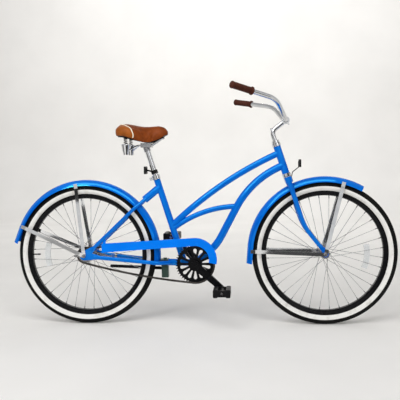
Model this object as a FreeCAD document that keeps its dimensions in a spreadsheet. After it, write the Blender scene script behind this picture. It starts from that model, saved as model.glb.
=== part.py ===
import FreeCAD, Part
import math
import os
import types

import Sketcher

# A beach cruiser bicycle at its real size, in millimetres, degrees and counts.
# +X points forward, +Y to the rider's left, +Z up. The origin lies on the ground
# under the middle of the whole bicycle.
SIZES = {
    # Stance
    "wheelbase": 1120.0,
    "mid_ahead": 12.0,
    # Tyres and rims
    "tyre_radius": 333.5,
    "tyre_section_radius": 25.0,
    "tyre_wall": 3.5,
    "bead_depth": 6.0,
    "bead_half_gap": 12.6,
    "bead_thickness": 2.6,
    "rim_below_tread": 47.5,
    "rim_depth": 18.5,
    "rim_shoulder": 5.0,
    "rim_half_width": 15.5,
    "rim_base_half_width": 9.0,
    "rim_wall": 2.5,
    "valve_radius": 4.0,
    "valve_length": 34.0,
    "valve_angle": 180.0,
    # Spokes
    "spoke_count": 36,
    "spoke_radius": 1.0,
    "spoke_lean": 60.0,
    "spoke_flange_gap": 1.15,
    "spoke_hole_inset": 3.5,
    "nipple_radius": 2.2,
    "nipple_length": 12.0,
    "nipple_seat_gap": 0.3,
    "reflector_orbit": 195.0,
    "reflector_length": 112.0,
    "reflector_width": 25.0,
    "front_reflector_turn": -5.0,
    "rear_reflector_turn": 180.0,
    # Hubs and axles
    "flange_thickness": 3.0,
    "bearing_gap": 0.1,
    "front_flange_radius": 22.0,
    "front_flange_half": 33.0,
    "front_barrel_radius": 14.0,
    "front_hub_half": 43.0,
    "front_axle_radius": 3.97,
    "front_axle_half": 74.0,
    "front_cone_radius": 8.0,
    "front_old": 100.0,
    "rear_flange_radius": 33.0,
    "rear_flange_half": 29.0,
    "rear_barrel_radius": 21.0,
    "rear_hub_half": 34.0,
    "rear_axle_radius": 4.76,
    "rear_axle_half": 86.0,
    "axle_tip_step": 0.4,
    "axle_tip_length": 10.0,
    "rear_cone_radius": 9.5,
    "rear_old": 112.0,
    "thread_gap": 0.05,
    "nut_length": 9.0,
    "nut_flats_radius": 8.6,
    "brake_arm_inset": 12.0,
    "brake_arm_sheet": 4.0,
    "brake_arm_root": 16.0,
    "brake_arm_tip": 7.0,
    "brake_arm_length": 128.0,
    "brake_arm_drop": 35.0,
    # Frame tubes
    "tube_wall": 1.8,
    "head_angle": 72.2,
    "fork_rake": 50.7,
    "head_tube_above_axle": 406.4,
    "head_tube_length": 132.0,
    "head_tube_radius": 17.0,
    "head_tube_bore": 15.0,
    "seat_angle": 72.8,
    "seat_tube_behind": 56.0,
    "seat_tube_length": 435.0,
    "seat_tube_radius": 15.4,
    "seat_tube_bore": 12.75,
    "shell_radius": 21.0,
    "shell_bore": 17.5,
    "shell_length": 68.0,
    "bottom_bracket_drop": 43.5,
    "yoke_radius": 16.0,
    "yoke_length": 136.0,
    "yoke_rise": 3.0,
    "top_tube_radius": 14.8,
    "top_tube_up_head": 100.0,
    "top_tube_up_seat": 184.0,
    "top_tube_bow": 26.0,
    "down_tube_radius": 17.5,
    "down_tube_up_head": 40.0,
    "down_tube_knee_back": 153.0,
    "down_tube_knee_drop": 72.0,
    "down_tube_toe_ahead": 100.0,
    "down_tube_toe_up": 84.0,
    "down_tube_knee_bend": 420.0,
    "down_tube_toe_bend": 240.0,
    "mid_tube_radius": 12.5,
    "mid_tube_up_seat": 168.0,
    "mid_tube_down_knee": 132.0,
    "mid_tube_bow": 26.0,
    "wishbone_radius": 18.0,
    "wishbone_up_seat": 374.0,
    "wishbone_fall": 38.5,
    "wishbone_length": 92.0,
    "chain_stay_radius": 9.5,
    "chain_stay_root_inset": 24.0,
    "chain_stay_root_half": 7.0,
    "chain_stay_shoulder_back": 37.0,
    "chain_stay_shoulder_half": 43.5,
    "chain_stay_bend": 48.0,
    "chain_stay_end_ahead": 46.0,
    "chain_stay_end_drop": 7.0,
    "seat_stay_radius": 8.3,
    "seat_stay_root_inset": 10.0,
    "seat_stay_root_half": 9.0,
    "seat_stay_shoulder_back": 38.0,
    "seat_stay_shoulder_drop": 34.0,
    "seat_stay_shoulder_half": 45.0,
    "seat_stay_bend": 50.0,
    "seat_stay_end_ahead": 34.0,
    "seat_stay_end_up": 26.0,
    "stay_end_half": 58.0,
    "dropout_thickness": 6.0,
    "dropout_radius": 21.0,
    "dropout_arm_radius": 11.0,
    "dropout_arm_ahead": 62.0,
    "tug_thickness": 2.0,
    "tug_width": 16.0,
    "tug_length": 46.0,
    # Headset
    "cup_radius": 20.0,
    "cup_height": 12.4,
    "cup_skirt": 10.0,
    "cup_mouth_radius": 17.5,
    "cup_mouth_depth": 4.6,
    "steerer_gap": 0.4,
    "race_radius": 18.5,
    "race_rim": 3.0,
    "race_height": 6.6,
    "race_lift": 4.8,
    "ball_ring_radius": 15.6,
    "ball_radius": 1.7,
    "locknut_height": 10.0,
    "locknut_radius": 17.5,
    # Fork
    "steerer_radius": 12.7,
    "steerer_bore": 11.15,
    "crown_height": 27.0,
    "crown_half_width": 58.0,
    "crown_depth": 34.0,
    "blade_radius": 12.0,
    "blade_tip_radius": 9.0,
    "blade_half_spread": 45.0,
    "blade_bend_up": 150.0,
    "blade_bend": 260.0,
    "fork_end_radius": 13.0,
    "fork_end_thickness": 6.0,
    # Stem, bar and grips
    "quill_radius": 11.1,
    "quill_depth": 70.0,
    "elbow_above_head": 73.0,
    "clamp_rise": 26.0,
    "clamp_reach": 74.5,
    "stem_bend": 30.0,
    "clamp_radius": 17.5,
    "clamp_length": 46.0,
    "clamp_slit": 3.0,
    "clamp_gap": 0.05,
    "bar_radius": 11.1,
    "bar_wall": 2.0,
    "bar_centre_radius": 12.7,
    "bar_centre_length": 60.0,
    "bar_straight_half": 34.0,
    "bar_shoulder_back": 51.0,
    "bar_shoulder_rise": 81.0,
    "bar_shoulder_half": 182.0,
    "bar_end_back": 234.0,
    "bar_end_rise": 125.0,
    "bar_end_half": 340.0,
    "bar_root_bend": 62.0,
    "bar_shoulder_bend": 150.0,
    "grip_length": 112.0,
    "grip_radius": 14.5,
    "grip_collar_radius": 18.0,
    "grip_collar_width": 5.0,
    "grip_cap": 4.0,
    "grip_gap": 0.05,
    # Fenders and stays
    "fender_clearance": 22.5,
    "fender_half_width": 32.0,
    "fender_depth": 27.0,
    "fender_sheet": 1.2,
    "fender_flare": 74.0,
    "front_fender_start_angle": 59.5,
    "front_fender_sweep_angle": 116.0,
    "rear_fender_start_angle": -8.0,
    "rear_fender_sweep_angle": 166.0,
    "stay_width": 17.0,
    "stay_sheet": 1.5,
    "stay_eye_reach": 24.0,
    "stay_foot": 22.0,
    "stay_seat_gap": 0.3,
    "fender_bolt_length": 40.0,
    "front_upper_stay_angle": 75.0,
    "front_lower_stay_angle": 178.0,
    "rear_upper_stay_angle": 97.0,
    "rear_lower_stay_angle": 156.0,
    # Drive
    "chain_pitch": 12.7,
    "chain_links": 114,
    "chain_slack": 0.6,
    "chain_roller_radius": 3.875,
    "chain_inner_width": 3.3,
    "chain_plate": 1.0,
    "chain_plate_half": 4.2,
    "chain_plate_gap": 0.12,
    "chain_line": 42.0,
    "ring_teeth": 44,
    "sprocket_teeth": 18,
    "tooth_height": 4.0,
    "tooth_tip_half": 0.95,
    "tooth_thickness": 2.6,
    "ring_bore": 14.0,
    "ring_slots": 14,
    "slot_outer_orbit": 64.0,
    "slot_outer_radius": 8.0,
    "slot_inner_orbit": 36.0,
    "slot_inner_radius": 3.0,
    "driver_radius": 17.0,
    "driver_length": 12.0,
    "crank_length": 170.0,
    "crank_angle": -41.5,
    "crank_inner": 59.0,
    "crank_thickness": 14.0,
    "crank_root_radius": 19.0,
    "crank_end_radius": 13.0,
    "crank_boss_radius": 16.5,
    "crank_axle_radius": 8.0,
    "crank_cap_radius": 11.0,
    "crank_cap_height": 3.0,
    "cup_depth": 16.0,
    "cup_lip": 3.0,
    "cup_lip_radius": 20.0,
    "pedal_inner": 80.0,
    "pedal_length": 95.0,
    "pedal_width": 78.0,
    "pedal_height": 36.0,
    "pedal_tread": 21.0,
    "pedal_plate": 7.0,
    "pedal_barrel_radius": 11.0,
    "pedal_spindle_radius": 6.0,
    "pedal_root_radius": 8.0,
    "pedal_gap": 0.08,
    # Chain guard
    "guard_line": 53.6,
    "guard_sheet": 1.2,
    "guard_lip": 9.0,
    "guard_nose_up": 21.0,
    "guard_nose_radius": 102.0,
    "guard_band": 37.0,
    "guard_tail_back": 440.0,
    "guard_tail_up": 99.0,
    "guard_tail_band": 42.0,
    "guard_tab_width": 14.0,
    # Kickstand
    "stand_behind": 147.0,
    "stand_width": 32.0,
    "stand_plate": 6.0,
    "stand_plate_span": 46.0,
    "stand_block_height": 56.0,
    "stand_block_half": 14.0,
    "stand_bolt_radius": 5.0,
    "stand_bolt_head": 8.5,
    "stand_pivot_half": 24.0,
    "stand_pivot_radius": 9.0,
    "stand_leg_radius": 7.5,
    "stand_leg_length": 273.0,
    "stand_axis_tilt": 16.1,
    "stand_leg_out": 4.6,
    "stand_leg_up": 1.8,
    "stand_gap": 0.3,
    # Seat post and saddle
    "post_radius": 12.7,
    "post_insert": 110.0,
    "post_above": 129.0,
    "collar_height": 22.0,
    "collar_wall": 4.0,
    "collar_ear": 12.0,
    "saddle_tail_behind": 138.0,
    "saddle_length": 244.0,
    "saddle_half_width": 114.0,
    "saddle_top": 115.0,
    "saddle_depth": 92.0,
    "saddle_pan_sheet": 3.0,
    "saddle_pan_gap": 0.7,
    "saddle_clamp_length": 50.0,
    "saddle_clamp_height": 30.0,
    "saddle_clamp_half": 29.0,
    "rail_radius": 3.5,
    "rail_half": 21.0,
    "rail_gap": 0.05,
    "rail_up": 17.0,
    "rail_nose_half": 13.0,
    "rail_bend": 26.0,
    "rail_front_reach": 26.0,
    "rail_pan_gap": 0.5,
    "flex_ahead": 78.0,
    "flex_up": 51.0,
    "flex_angle": 4.0,
    "spring_behind": 88.0,
    "spring_half": 60.0,
    "cup_top_up": 22.0,
    "cup_bottom_up": -27.0,
    "spring_cup_top_radius": 19.5,
    "spring_cup_foot_radius": 11.5,
    "spring_cup_wall": 1.2,
    "spring_cup_collar": 5.0,
    "spring_radius": 8.0,
    "spring_wire_radius": 1.8,
    "spring_turns": 9,
    "spring_end_gap": 0.3,
    # Reflectors on brackets
    "lamp_width": 52.0,
    "lamp_height": 36.0,
    "lamp_depth": 9.0,
    "lamp_corner": 7.0,
    "bracket_width": 12.0,
    "bracket_sheet": 3.5,
    "front_lamp_reach": 59.0,
    "front_lamp_up": 62.0,
    "rear_lamp_reach": 42.0,
    "rear_collar_up": 6.0,
    "rear_collar_height": 18.0,
    "rear_collar_wall": 3.0,
    # Fasteners
    "screw_radius": 4.0,
    "screw_height": 3.0,
    # Cuts run past by the overrun, and full rounds stop short by the edge gap
    "overrun": 2.0,
    "edge_gap": 0.05,
}

# Saddle stations as shares: along from tail to nose, half width, then heights of the top,
# the skirt's edge and the arch underneath, over the saddle's depth.
SADDLE_SHARES = (
    (0.00, 0.54, 0.80, 0.42, 0.45),
    (0.07, 0.86, 0.97, 0.36, 0.42),
    (0.24, 1.00, 1.00, 0.27, 0.38),
    (0.42, 0.88, 0.90, 0.09, 0.34),
    (0.58, 0.60, 0.85, 0.00, 0.32),
    (0.76, 0.36, 0.87, 0.09, 0.33),
    (0.90, 0.25, 0.86, 0.28, 0.38),
    (1.00, 0.14, 0.66, 0.45, 0.47),
)
SKIRT_SHARE = 0.90
SHOULDER_SHARE = 0.74
CROWN_SHARE = 0.24
PAN_SHARE = 0.80
# How far small parts reach, as shares of the sizes that they stand on
DROPOUT_ARM_SHARE = 1.25
PEDAL_PLATE_SHARE = 0.8
EAR_SHARES = (2.0, 1.5, 0.7)
EAR_BOLT_SHARE = 1.3
RAIL_NOSE_SHARE = 3.0
RAIL_TAIL_SHARE = 1.6
CLAMP_SHARE = 0.7
SOCKET_SHARE = 0.4
PARALLEL_SHARE = 0.99
# Corners of a hexagon as shares of its radius
HEX_SHARES = tuple((math.cos(math.radians(60 * k)), math.sin(math.radians(60 * k))) for k in range(6))

DOC = FreeCAD.newDocument("beach_cruiser")
SHEET = DOC.addObject("Spreadsheet::Sheet", "Sizes")
NODES = {}
V = FreeCAD.Vector


class Size:
    """A size of the sheet, or a sum of sizes, with the expression that gives it."""

    def __init__(self, value, text):
        self.value = float(value)
        self.text = text

    def __float__(self):
        return self.value

    def __neg__(self):
        return Size(-self.value, f"(-{self.text})")

    def __add__(self, other):
        other = as_size(other)
        return Size(self.value + other.value, f"({self.text} + {other.text})")

    def __sub__(self, other):
        other = as_size(other)
        return Size(self.value - other.value, f"({self.text} - {other.text})")

    def __mul__(self, other):
        other = as_size(other)
        return Size(self.value * other.value, f"({self.text} * {other.text})")

    def __truediv__(self, other):
        other = as_size(other)
        return Size(self.value / other.value, f"({self.text} / {other.text})")


def as_size(value):
    """Return a Size for a Size or a plain number."""
    if isinstance(value, Size):
        return value
    return Size(value, repr(float(value)))


def fill_sheet():
    """Write every driving size to the sheet, under its own alias."""
    for row, (name, value) in enumerate(SIZES.items(), start=1):
        SHEET.set(f"A{row}", name)
        SHEET.set(f"B{row}", str(value))
        SHEET.setAlias(f"B{row}", name)
    DOC.recompute()


fill_sheet()
n = types.SimpleNamespace(**{name: SHEET.get(name) for name in SIZES})
d = types.SimpleNamespace(**{name: Size(SHEET.get(name), f"Sizes.{name}") for name in SIZES})
# The rim follows the tyre that it carries, and the fender clears that tyre.
RIM_OUTER = d.tyre_radius - d.rim_below_tread
RIM_INNER = RIM_OUTER - d.rim_depth
FENDER_RADIUS = n.tyre_radius + n.fender_clearance


# Ways of making pieces

def node(name, piece):
    """Name a finished sub-part."""
    piece.Label = name
    NODES[name] = piece
    return piece


def feature(name, shape):
    """Hold a shape that the code works out from the sheet."""
    piece = DOC.addObject("Part::Feature", name)
    piece.Shape = shape
    return piece


def group(name, pieces):
    """Hold separate solids of one sub-part together."""
    compound = DOC.addObject("Part::Compound", name)
    compound.Links = pieces
    return node(name, compound)


def facing(base, axis):
    """Return the placement that turns +Z to an axis and moves the origin to base."""
    return FreeCAD.Placement(base, FreeCAD.Rotation(V(0, 0, 1), axis))


def draw_outline(sketch, outline):
    """Draw a closed outline, with each corner and bend radius bound to the sheet.

    An entry is (across, along) for the corner at the start of a straight edge, or
    (across, along, radius) where the edge that starts there is an arc. A positive radius
    turns left on its way to the next corner.
    """
    count = len(outline)
    corners = [V(float(entry[0]), float(entry[1]), 0) for entry in outline]
    edges = []
    for index, entry in enumerate(outline):
        start = corners[index]
        end = corners[(index + 1) % count]
        if len(entry) == 2:
            edges.append(Part.LineSegment(start, end))
            continue
        radius = float(entry[2])
        chord = end - start
        half = chord.Length / 2
        left = V(-chord.y, chord.x, 0).normalize()
        rise = abs(radius) - math.sqrt(radius * radius - half * half)
        middle = (start + end) * 0.5 - left * math.copysign(rise, radius)
        ends = (start, end) if radius > 0 else (end, start)
        edges.append(Part.Arc(ends[0], middle, ends[1]))
    sketch.addGeometry(edges, False)
    first = []
    for index, corner in enumerate(corners):
        near = (sketch.Geometry[index].StartPoint - corner).Length
        far = (sketch.Geometry[index].EndPoint - corner).Length
        first.append(1 if near < far else 2)
    rules = []
    texts = {}
    for index, entry in enumerate(outline):
        follower = (index + 1) % count
        rules.append(Sketcher.Constraint("Coincident", index, 3 - first[index], follower, first[follower]))
        for kind, axis, place in (("DistanceX", -2, entry[0]), ("DistanceY", -1, entry[1])):
            if float(place) == 0:
                rules.append(Sketcher.Constraint("PointOnObject", index, first[index], axis))
                continue
            texts[len(rules)] = as_size(place).text
            rules.append(Sketcher.Constraint(kind, -1, 1, index, first[index], float(place)))
        if len(entry) == 3:
            radius = entry[2] if float(entry[2]) > 0 else -entry[2]
            texts[len(rules)] = radius.text
            rules.append(Sketcher.Constraint("Radius", index, float(radius)))
    sketch.addConstraint(rules)
    for index, text in texts.items():
        sketch.setExpression(f"Constraints[{index}]", text)


def sketched(name, plane, outline):
    """Return a body and its first sketch, an outline on one of its own planes."""
    body = DOC.addObject("PartDesign::Body", name)
    sketch = body.newObject("Sketcher::SketchObject", name + "_outline")
    support = [item for item in body.Origin.OriginFeatures if item.Role == plane][0]
    sketch.AttachmentSupport = (support, "")
    sketch.MapMode = "FlatFace"
    draw_outline(sketch, outline)
    return body, sketch


def turned(name, outline, base, axis):
    """A body of revolution, with an outline of (radius, along) corners, set on an axis."""
    body, sketch = sketched(name, "XZ_Plane", outline)
    turn = body.newObject("PartDesign::Revolution", name + "_turn")
    turn.Profile = sketch
    turn.ReferenceAxis = (sketch, ["V_Axis"])
    turn.Angle = 360
    body.Placement = facing(base, axis)
    return body


def ring(name, inner, outer, low, high, base, axis):
    """A plain turned ring."""
    return turned(name, [(inner, low), (outer, low), (outer, high), (inner, high)], base, axis)


def cylinder(name, radius, length, base, axis):
    """A round bar whose radius and length are bound to the sheet."""
    bar = DOC.addObject("Part::Cylinder", name)
    bar.setExpression("Radius", radius.text)
    bar.setExpression("Height", length.text)
    bar.Placement = facing(base, axis)
    return bar


def bent(points, bends):
    """A path through points, with each inner corner rounded by its bend radius."""
    edges = []
    start = points[0]
    for before, corner, after, bend in zip(points, points[1:], points[2:], bends):
        into = (corner - before).normalize()
        out = (after - corner).normalize()
        turn = into.getAngle(out)
        reach = bend * math.tan(turn / 2)
        first = corner - into * reach
        last = corner + out * reach
        inward = (out - into).normalize()
        middle = corner + inward * (bend / math.cos(turn / 2) - bend)
        edges.append(Part.LineSegment(start, first).toShape())
        edges.append(Part.Arc(first, middle, last).toShape())
        start = last
    edges.append(Part.LineSegment(start, points[-1]).toShape())
    return Part.Wire(edges)


def bowed(start, end, bow):
    """An arc from start to end that rises by bow above its chord, in a plane across Y."""
    chord = end - start
    up = V(-chord.z, 0, chord.x).normalize()
    if up.z < 0:
        up = up * -1
    return Part.Wire([Part.Arc(start, (start + end) * 0.5 + up * bow, end).toShape()])


def rod(path, radius, tip_radius=None):
    """A round solid along a path, tapered where a tip radius is given."""
    first = path.Edges[0]
    last = path.Edges[-1]
    start = first.valueAt(first.FirstParameter)
    rings = [Part.Wire(Part.Circle(start, first.tangentAt(first.FirstParameter), radius).toShape())]
    if tip_radius:
        end = last.valueAt(last.LastParameter)
        tip = Part.Circle(end, last.tangentAt(last.LastParameter), tip_radius)
        rings.append(Part.Wire(tip.toShape()))
    return path.makePipeShell(rings, True, False)


def largest(shape):
    """Return the largest solid of a cut shape."""
    return max(shape.Solids, key=lambda solid: solid.Volume)


def tube(name, path, radius, wall, neighbours):
    """A hollow tube along a path, coped to the outsides of the tubes that it meets."""
    shape = rod(path, radius).cut(rod(path, radius - wall))
    return feature(name, largest(shape.cut(Part.makeCompound(neighbours)) if neighbours else shape))


def hull_plate(start, start_radius, end, end_radius, low, thickness):
    """A flat plate round two circles across Y, from the face at y = low."""
    along = end - start
    heading = math.atan2(along.z, along.x)
    spread = math.acos((start_radius - end_radius) / along.Length)

    def rim(centre, radius, angle):
        return V(centre.x + radius * math.cos(angle), low, centre.z + radius * math.sin(angle))

    left = rim(start, start_radius, heading + spread)
    right = rim(start, start_radius, heading - spread)
    end_left = rim(end, end_radius, heading + spread)
    end_right = rim(end, end_radius, heading - spread)
    outline = Part.Wire([
        Part.Arc(left, rim(start, start_radius, heading + math.pi), right).toShape(),
        Part.LineSegment(right, end_right).toShape(),
        Part.Arc(end_right, rim(end, end_radius, heading), end_left).toShape(),
        Part.LineSegment(end_left, left).toShape(),
    ])
    return Part.Face(outline).extrude(V(0, thickness, 0))


def across(centre, radius, low, length):
    """A round bar along Y."""
    return Part.makeCylinder(radius, length, V(centre.x, low, centre.z), V(0, 1, 0))


def block(centre, size):
    """A box about its centre."""
    return Part.makeBox(size.x, size.y, size.z, centre - size * 0.5)


def rounded_block(centre, size, radius, axis):
    """A box about its centre, with the edges along one axis rounded."""
    box = block(centre, size)
    edges = [edge for edge in box.Edges if abs(edge.tangentAt(edge.FirstParameter).dot(axis)) > PARALLEL_SHARE]
    return box.makeFillet(radius, edges)


def mirrored(shape):
    """The same shape on the other side of the bicycle."""
    return shape.mirror(V(0, 0, 0), V(0, 1, 0))


def both_sides(name, shape):
    """A node with a left piece and its mirror image on the right."""
    return group(name, [feature(name + "_left", shape), feature(name + "_right", mirrored(shape))])


def polar(radius, angle):
    """A point of the wheel's plane, with its angle in degrees from +X towards +Z."""
    return V(radius * math.cos(math.radians(angle)), 0, radius * math.sin(math.radians(angle)))


# Layout of the whole bicycle

SIDE = V(0, 1, 0)
UP = V(0, 0, 1)
BACK = V(-1, 0, 0)
REAR = V(n.mid_ahead - n.wheelbase / 2, 0, n.tyre_radius)
FRONT = V(n.mid_ahead + n.wheelbase / 2, 0, n.tyre_radius)


def pitch_radius(teeth):
    """Radius of the circle that the chain's pins follow on a toothed wheel."""
    return n.chain_pitch / (2 * math.sin(math.pi / teeth))


RING_PITCH = pitch_radius(n.ring_teeth)
SPROCKET_PITCH = pitch_radius(n.sprocket_teeth)


def taut_length(distance):
    """Length of a tight chain round both toothed wheels at a centre distance."""
    lean = math.asin((RING_PITCH - SPROCKET_PITCH) / distance)
    wraps = n.ring_teeth * (math.pi + 2 * lean) + n.sprocket_teeth * (math.pi - 2 * lean)
    return 2 * distance * math.cos(lean) + n.chain_pitch * wraps / (2 * math.pi)


def solve(function, low, high):
    """Return where a rising function crosses zero between two bounds."""
    for _ in range(60):
        middle = (low + high) / 2
        if function(middle) < 0:
            low = middle
        else:
            high = middle
    return (low + high) / 2


# The bottom bracket lies where the chain's links, less its slack, reach to.
CHAIN_LENGTH = n.chain_links * n.chain_pitch
STAY_REACH = solve(
    lambda distance: taut_length(distance) - (CHAIN_LENGTH - n.chain_slack),
    RING_PITCH + SPROCKET_PITCH,
    CHAIN_LENGTH,
)
DROP = n.bottom_bracket_drop
CRANK = REAR + V(math.sqrt(STAY_REACH ** 2 - DROP ** 2), 0, -DROP)

STEER_UP = V(-math.cos(math.radians(n.head_angle)), 0, math.sin(math.radians(n.head_angle)))
STEER_AHEAD = V(STEER_UP.z, 0, -STEER_UP.x)
STEER_FOOT = FRONT - STEER_AHEAD * n.fork_rake
HEAD_LOW = STEER_FOOT + STEER_UP * n.head_tube_above_axle
HEAD_HIGH = HEAD_LOW + STEER_UP * n.head_tube_length
SEAT_UP = V(-math.cos(math.radians(n.seat_angle)), 0, math.sin(math.radians(n.seat_angle)))
YOKE_END = CRANK + V(-n.yoke_length, 0, n.yoke_rise)
YOKE_BACK = (YOKE_END - CRANK).normalize()
SEAT_FOOT = CRANK + YOKE_BACK * n.seat_tube_behind
SEAT_HIGH = SEAT_FOOT + SEAT_UP * n.seat_tube_length
SADDLE_BASE = SEAT_HIGH + SEAT_UP * n.post_above


def steer(up, ahead, side=0):
    """A point by its height along the steering axis, its distance ahead of it and its side."""
    return STEER_FOOT + STEER_UP * up + STEER_AHEAD * ahead + SIDE * side


# Frame

HEAD_ROD = Part.makeCylinder(n.head_tube_radius, n.head_tube_length, HEAD_LOW, STEER_UP)
SEAT_ROD = Part.makeCylinder(n.seat_tube_radius, n.seat_tube_length, SEAT_FOOT, SEAT_UP)
YOKE_ROD = Part.makeCylinder(n.yoke_radius, n.yoke_length, CRANK, YOKE_BACK)
SHELL_ROD = across(CRANK, n.shell_radius, -n.shell_length / 2, n.shell_length)
TOP_PATH = bowed(
    HEAD_LOW + STEER_UP * n.top_tube_up_head,
    SEAT_FOOT + SEAT_UP * n.top_tube_up_seat,
    n.top_tube_bow,
)
DOWN_START = HEAD_LOW + STEER_UP * n.down_tube_up_head
DOWN_KNEE = DOWN_START + V(-n.down_tube_knee_back, 0, -n.down_tube_knee_drop)
DOWN_TOE = CRANK + V(n.down_tube_toe_ahead, 0, n.down_tube_toe_up)
DOWN_PATH = bent(
    [DOWN_START, DOWN_KNEE, DOWN_TOE, CRANK],
    [n.down_tube_knee_bend, n.down_tube_toe_bend],
)
TOP_ROD = rod(TOP_PATH, n.top_tube_radius)
DOWN_ROD = rod(DOWN_PATH, n.down_tube_radius)
WISHBONE_START = SEAT_FOOT + SEAT_UP * n.wishbone_up_seat
WISHBONE_BACK = polar(1, 180 + n.wishbone_fall)
WISHBONE_END = WISHBONE_START + WISHBONE_BACK * n.wishbone_length
WISHBONE_ROD = Part.makeCylinder(n.wishbone_radius, n.wishbone_length, WISHBONE_START, WISHBONE_BACK)


def frame_tubes():
    """The main tubes, each coped to what it is welded to."""
    node("head_tube", ring(
        "head_tube", d.head_tube_bore, d.head_tube_radius, as_size(0), d.head_tube_length, HEAD_LOW, STEER_UP,
    ))
    half = d.shell_length / 2
    node("bottom_bracket_shell", ring(
        "bottom_bracket_shell", d.shell_bore, d.shell_radius, -half, half, CRANK, SIDE,
    ))
    seat_bore = Part.makeCylinder(n.seat_tube_bore, n.seat_tube_length + n.overrun, SEAT_FOOT, SEAT_UP)
    node("seat_tube", feature("seat_tube", largest(SEAT_ROD.cut(seat_bore).cut(YOKE_ROD))))
    yoke_path = Part.Wire([Part.LineSegment(CRANK, YOKE_END).toShape()])
    node("chain_stay_yoke", tube("chain_stay_yoke", yoke_path, n.yoke_radius, n.tube_wall, [SHELL_ROD]))
    node("top_tube", tube("top_tube", TOP_PATH, n.top_tube_radius, n.tube_wall, [HEAD_ROD, SEAT_ROD]))
    node("down_tube", tube("down_tube", DOWN_PATH, n.down_tube_radius, n.tube_wall, [HEAD_ROD, SHELL_ROD]))
    down = (DOWN_TOE - DOWN_KNEE).normalize()
    mid_path = bowed(
        DOWN_KNEE + down * n.mid_tube_down_knee,
        SEAT_FOOT + SEAT_UP * n.mid_tube_up_seat,
        n.mid_tube_bow,
    )
    node("mid_tube", tube(
        "mid_tube", mid_path, n.mid_tube_radius, n.tube_wall, [DOWN_ROD, SEAT_ROD, TOP_ROD],
    ))
    hollow = Part.makeCylinder(
        n.wishbone_radius - n.tube_wall, n.wishbone_length - n.tube_wall, WISHBONE_START, WISHBONE_BACK,
    )
    node("seat_stay_wishbone", feature(
        "seat_stay_wishbone", largest(WISHBONE_ROD.cut(hollow).cut(SEAT_ROD)),
    ))


def dropout_plate():
    """The left dropout: a round end on the axle with an arm to each stay."""
    low = n.rear_old / 2
    lower = REAR + V(n.dropout_arm_ahead, 0, -n.chain_stay_end_drop)
    upper = REAR + V(n.seat_stay_end_ahead, 0, n.seat_stay_end_up) * DROPOUT_ARM_SHARE
    plate = hull_plate(REAR, n.dropout_radius, lower, n.dropout_arm_radius, low, n.dropout_thickness)
    plate = plate.fuse(hull_plate(REAR, n.dropout_radius, upper, n.dropout_arm_radius, low, n.dropout_thickness))
    hole = across(REAR, n.rear_axle_radius + n.thread_gap, low - n.overrun, n.dropout_thickness + 2 * n.overrun)
    return plate.removeSplitter().cut(hole)


def rear_stays():
    """Dropouts, chain stays and seat stays, as mirrored pairs."""
    dropout = dropout_plate()
    both_sides("rear_dropouts", dropout)
    chain_path = bent(
        [
            YOKE_END - YOKE_BACK * n.chain_stay_root_inset + SIDE * n.chain_stay_root_half,
            YOKE_END + YOKE_BACK * n.chain_stay_shoulder_back + SIDE * n.chain_stay_shoulder_half,
            REAR + V(n.chain_stay_end_ahead, n.stay_end_half, -n.chain_stay_end_drop),
        ],
        [n.chain_stay_bend],
    )
    stay = rod(chain_path, n.chain_stay_radius).cut(rod(chain_path, n.chain_stay_radius - n.tube_wall))
    both_sides("chain_stays", largest(stay.cut(YOKE_ROD).cut(dropout)))
    seat_path = bent(
        [
            WISHBONE_END - WISHBONE_BACK * n.seat_stay_root_inset + SIDE * n.seat_stay_root_half,
            WISHBONE_END + V(-n.seat_stay_shoulder_back, n.seat_stay_shoulder_half, -n.seat_stay_shoulder_drop),
            REAR + V(n.seat_stay_end_ahead, n.stay_end_half, n.seat_stay_end_up),
        ],
        [n.seat_stay_bend],
    )
    stay = rod(seat_path, n.seat_stay_radius).cut(rod(seat_path, n.seat_stay_radius - n.tube_wall))
    both_sides("seat_stays", largest(stay.cut(WISHBONE_ROD).cut(dropout)))


# Headset and fork

def headset():
    """Two cups pressed into the head tube, and the races and locknut that run in them."""
    steerer_hole = d.steerer_radius + d.steerer_gap
    thread = d.steerer_radius + d.thread_gap
    cup = [
        (steerer_hole, -d.cup_skirt),
        (d.head_tube_bore - d.thread_gap, -d.cup_skirt),
        (d.head_tube_bore - d.thread_gap, 0),
        (d.cup_radius, 0),
        (d.cup_radius, d.cup_height),
        (d.cup_mouth_radius, d.cup_height),
        (d.cup_mouth_radius, d.cup_height - d.cup_mouth_depth),
        (steerer_hole, d.cup_height - d.cup_mouth_depth),
    ]
    race_top = d.cup_height + d.race_lift
    race = [
        (thread, race_top - d.race_height),
        (steerer_hole + d.bearing_gap, race_top - d.race_height),
        (d.race_radius, race_top - d.race_rim),
        (d.race_radius, race_top),
        (thread, race_top),
    ]
    ball_place = n.cup_height - n.cup_mouth_depth + n.ball_radius + n.steerer_gap
    cups = []
    races = []
    for label, base, axis in (("lower", HEAD_LOW, STEER_UP * -1), ("upper", HEAD_HIGH, STEER_UP)):
        cups.append(turned(f"headset_cup_{label}", cup, base, axis))
        balls = DOC.addObject("Part::Torus", f"headset_balls_{label}")
        balls.setExpression("Radius1", d.ball_ring_radius.text)
        balls.setExpression("Radius2", d.ball_radius.text)
        balls.Placement = facing(base + axis * ball_place, axis)
        cups.append(balls)
        races.append(turned(f"headset_race_{label}", race, base, axis))
    races.append(ring(
        "headset_locknut", thread, d.locknut_radius, race_top, race_top + d.locknut_height, HEAD_HIGH, STEER_UP,
    ))
    group("headset_cups", cups)
    group("headset_races", races)


RACE_REACH = n.cup_height + n.race_lift
CROWN_TOP = n.head_tube_above_axle - RACE_REACH
STEERER_TOP = n.head_tube_above_axle + n.head_tube_length + RACE_REACH + n.locknut_height


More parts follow.
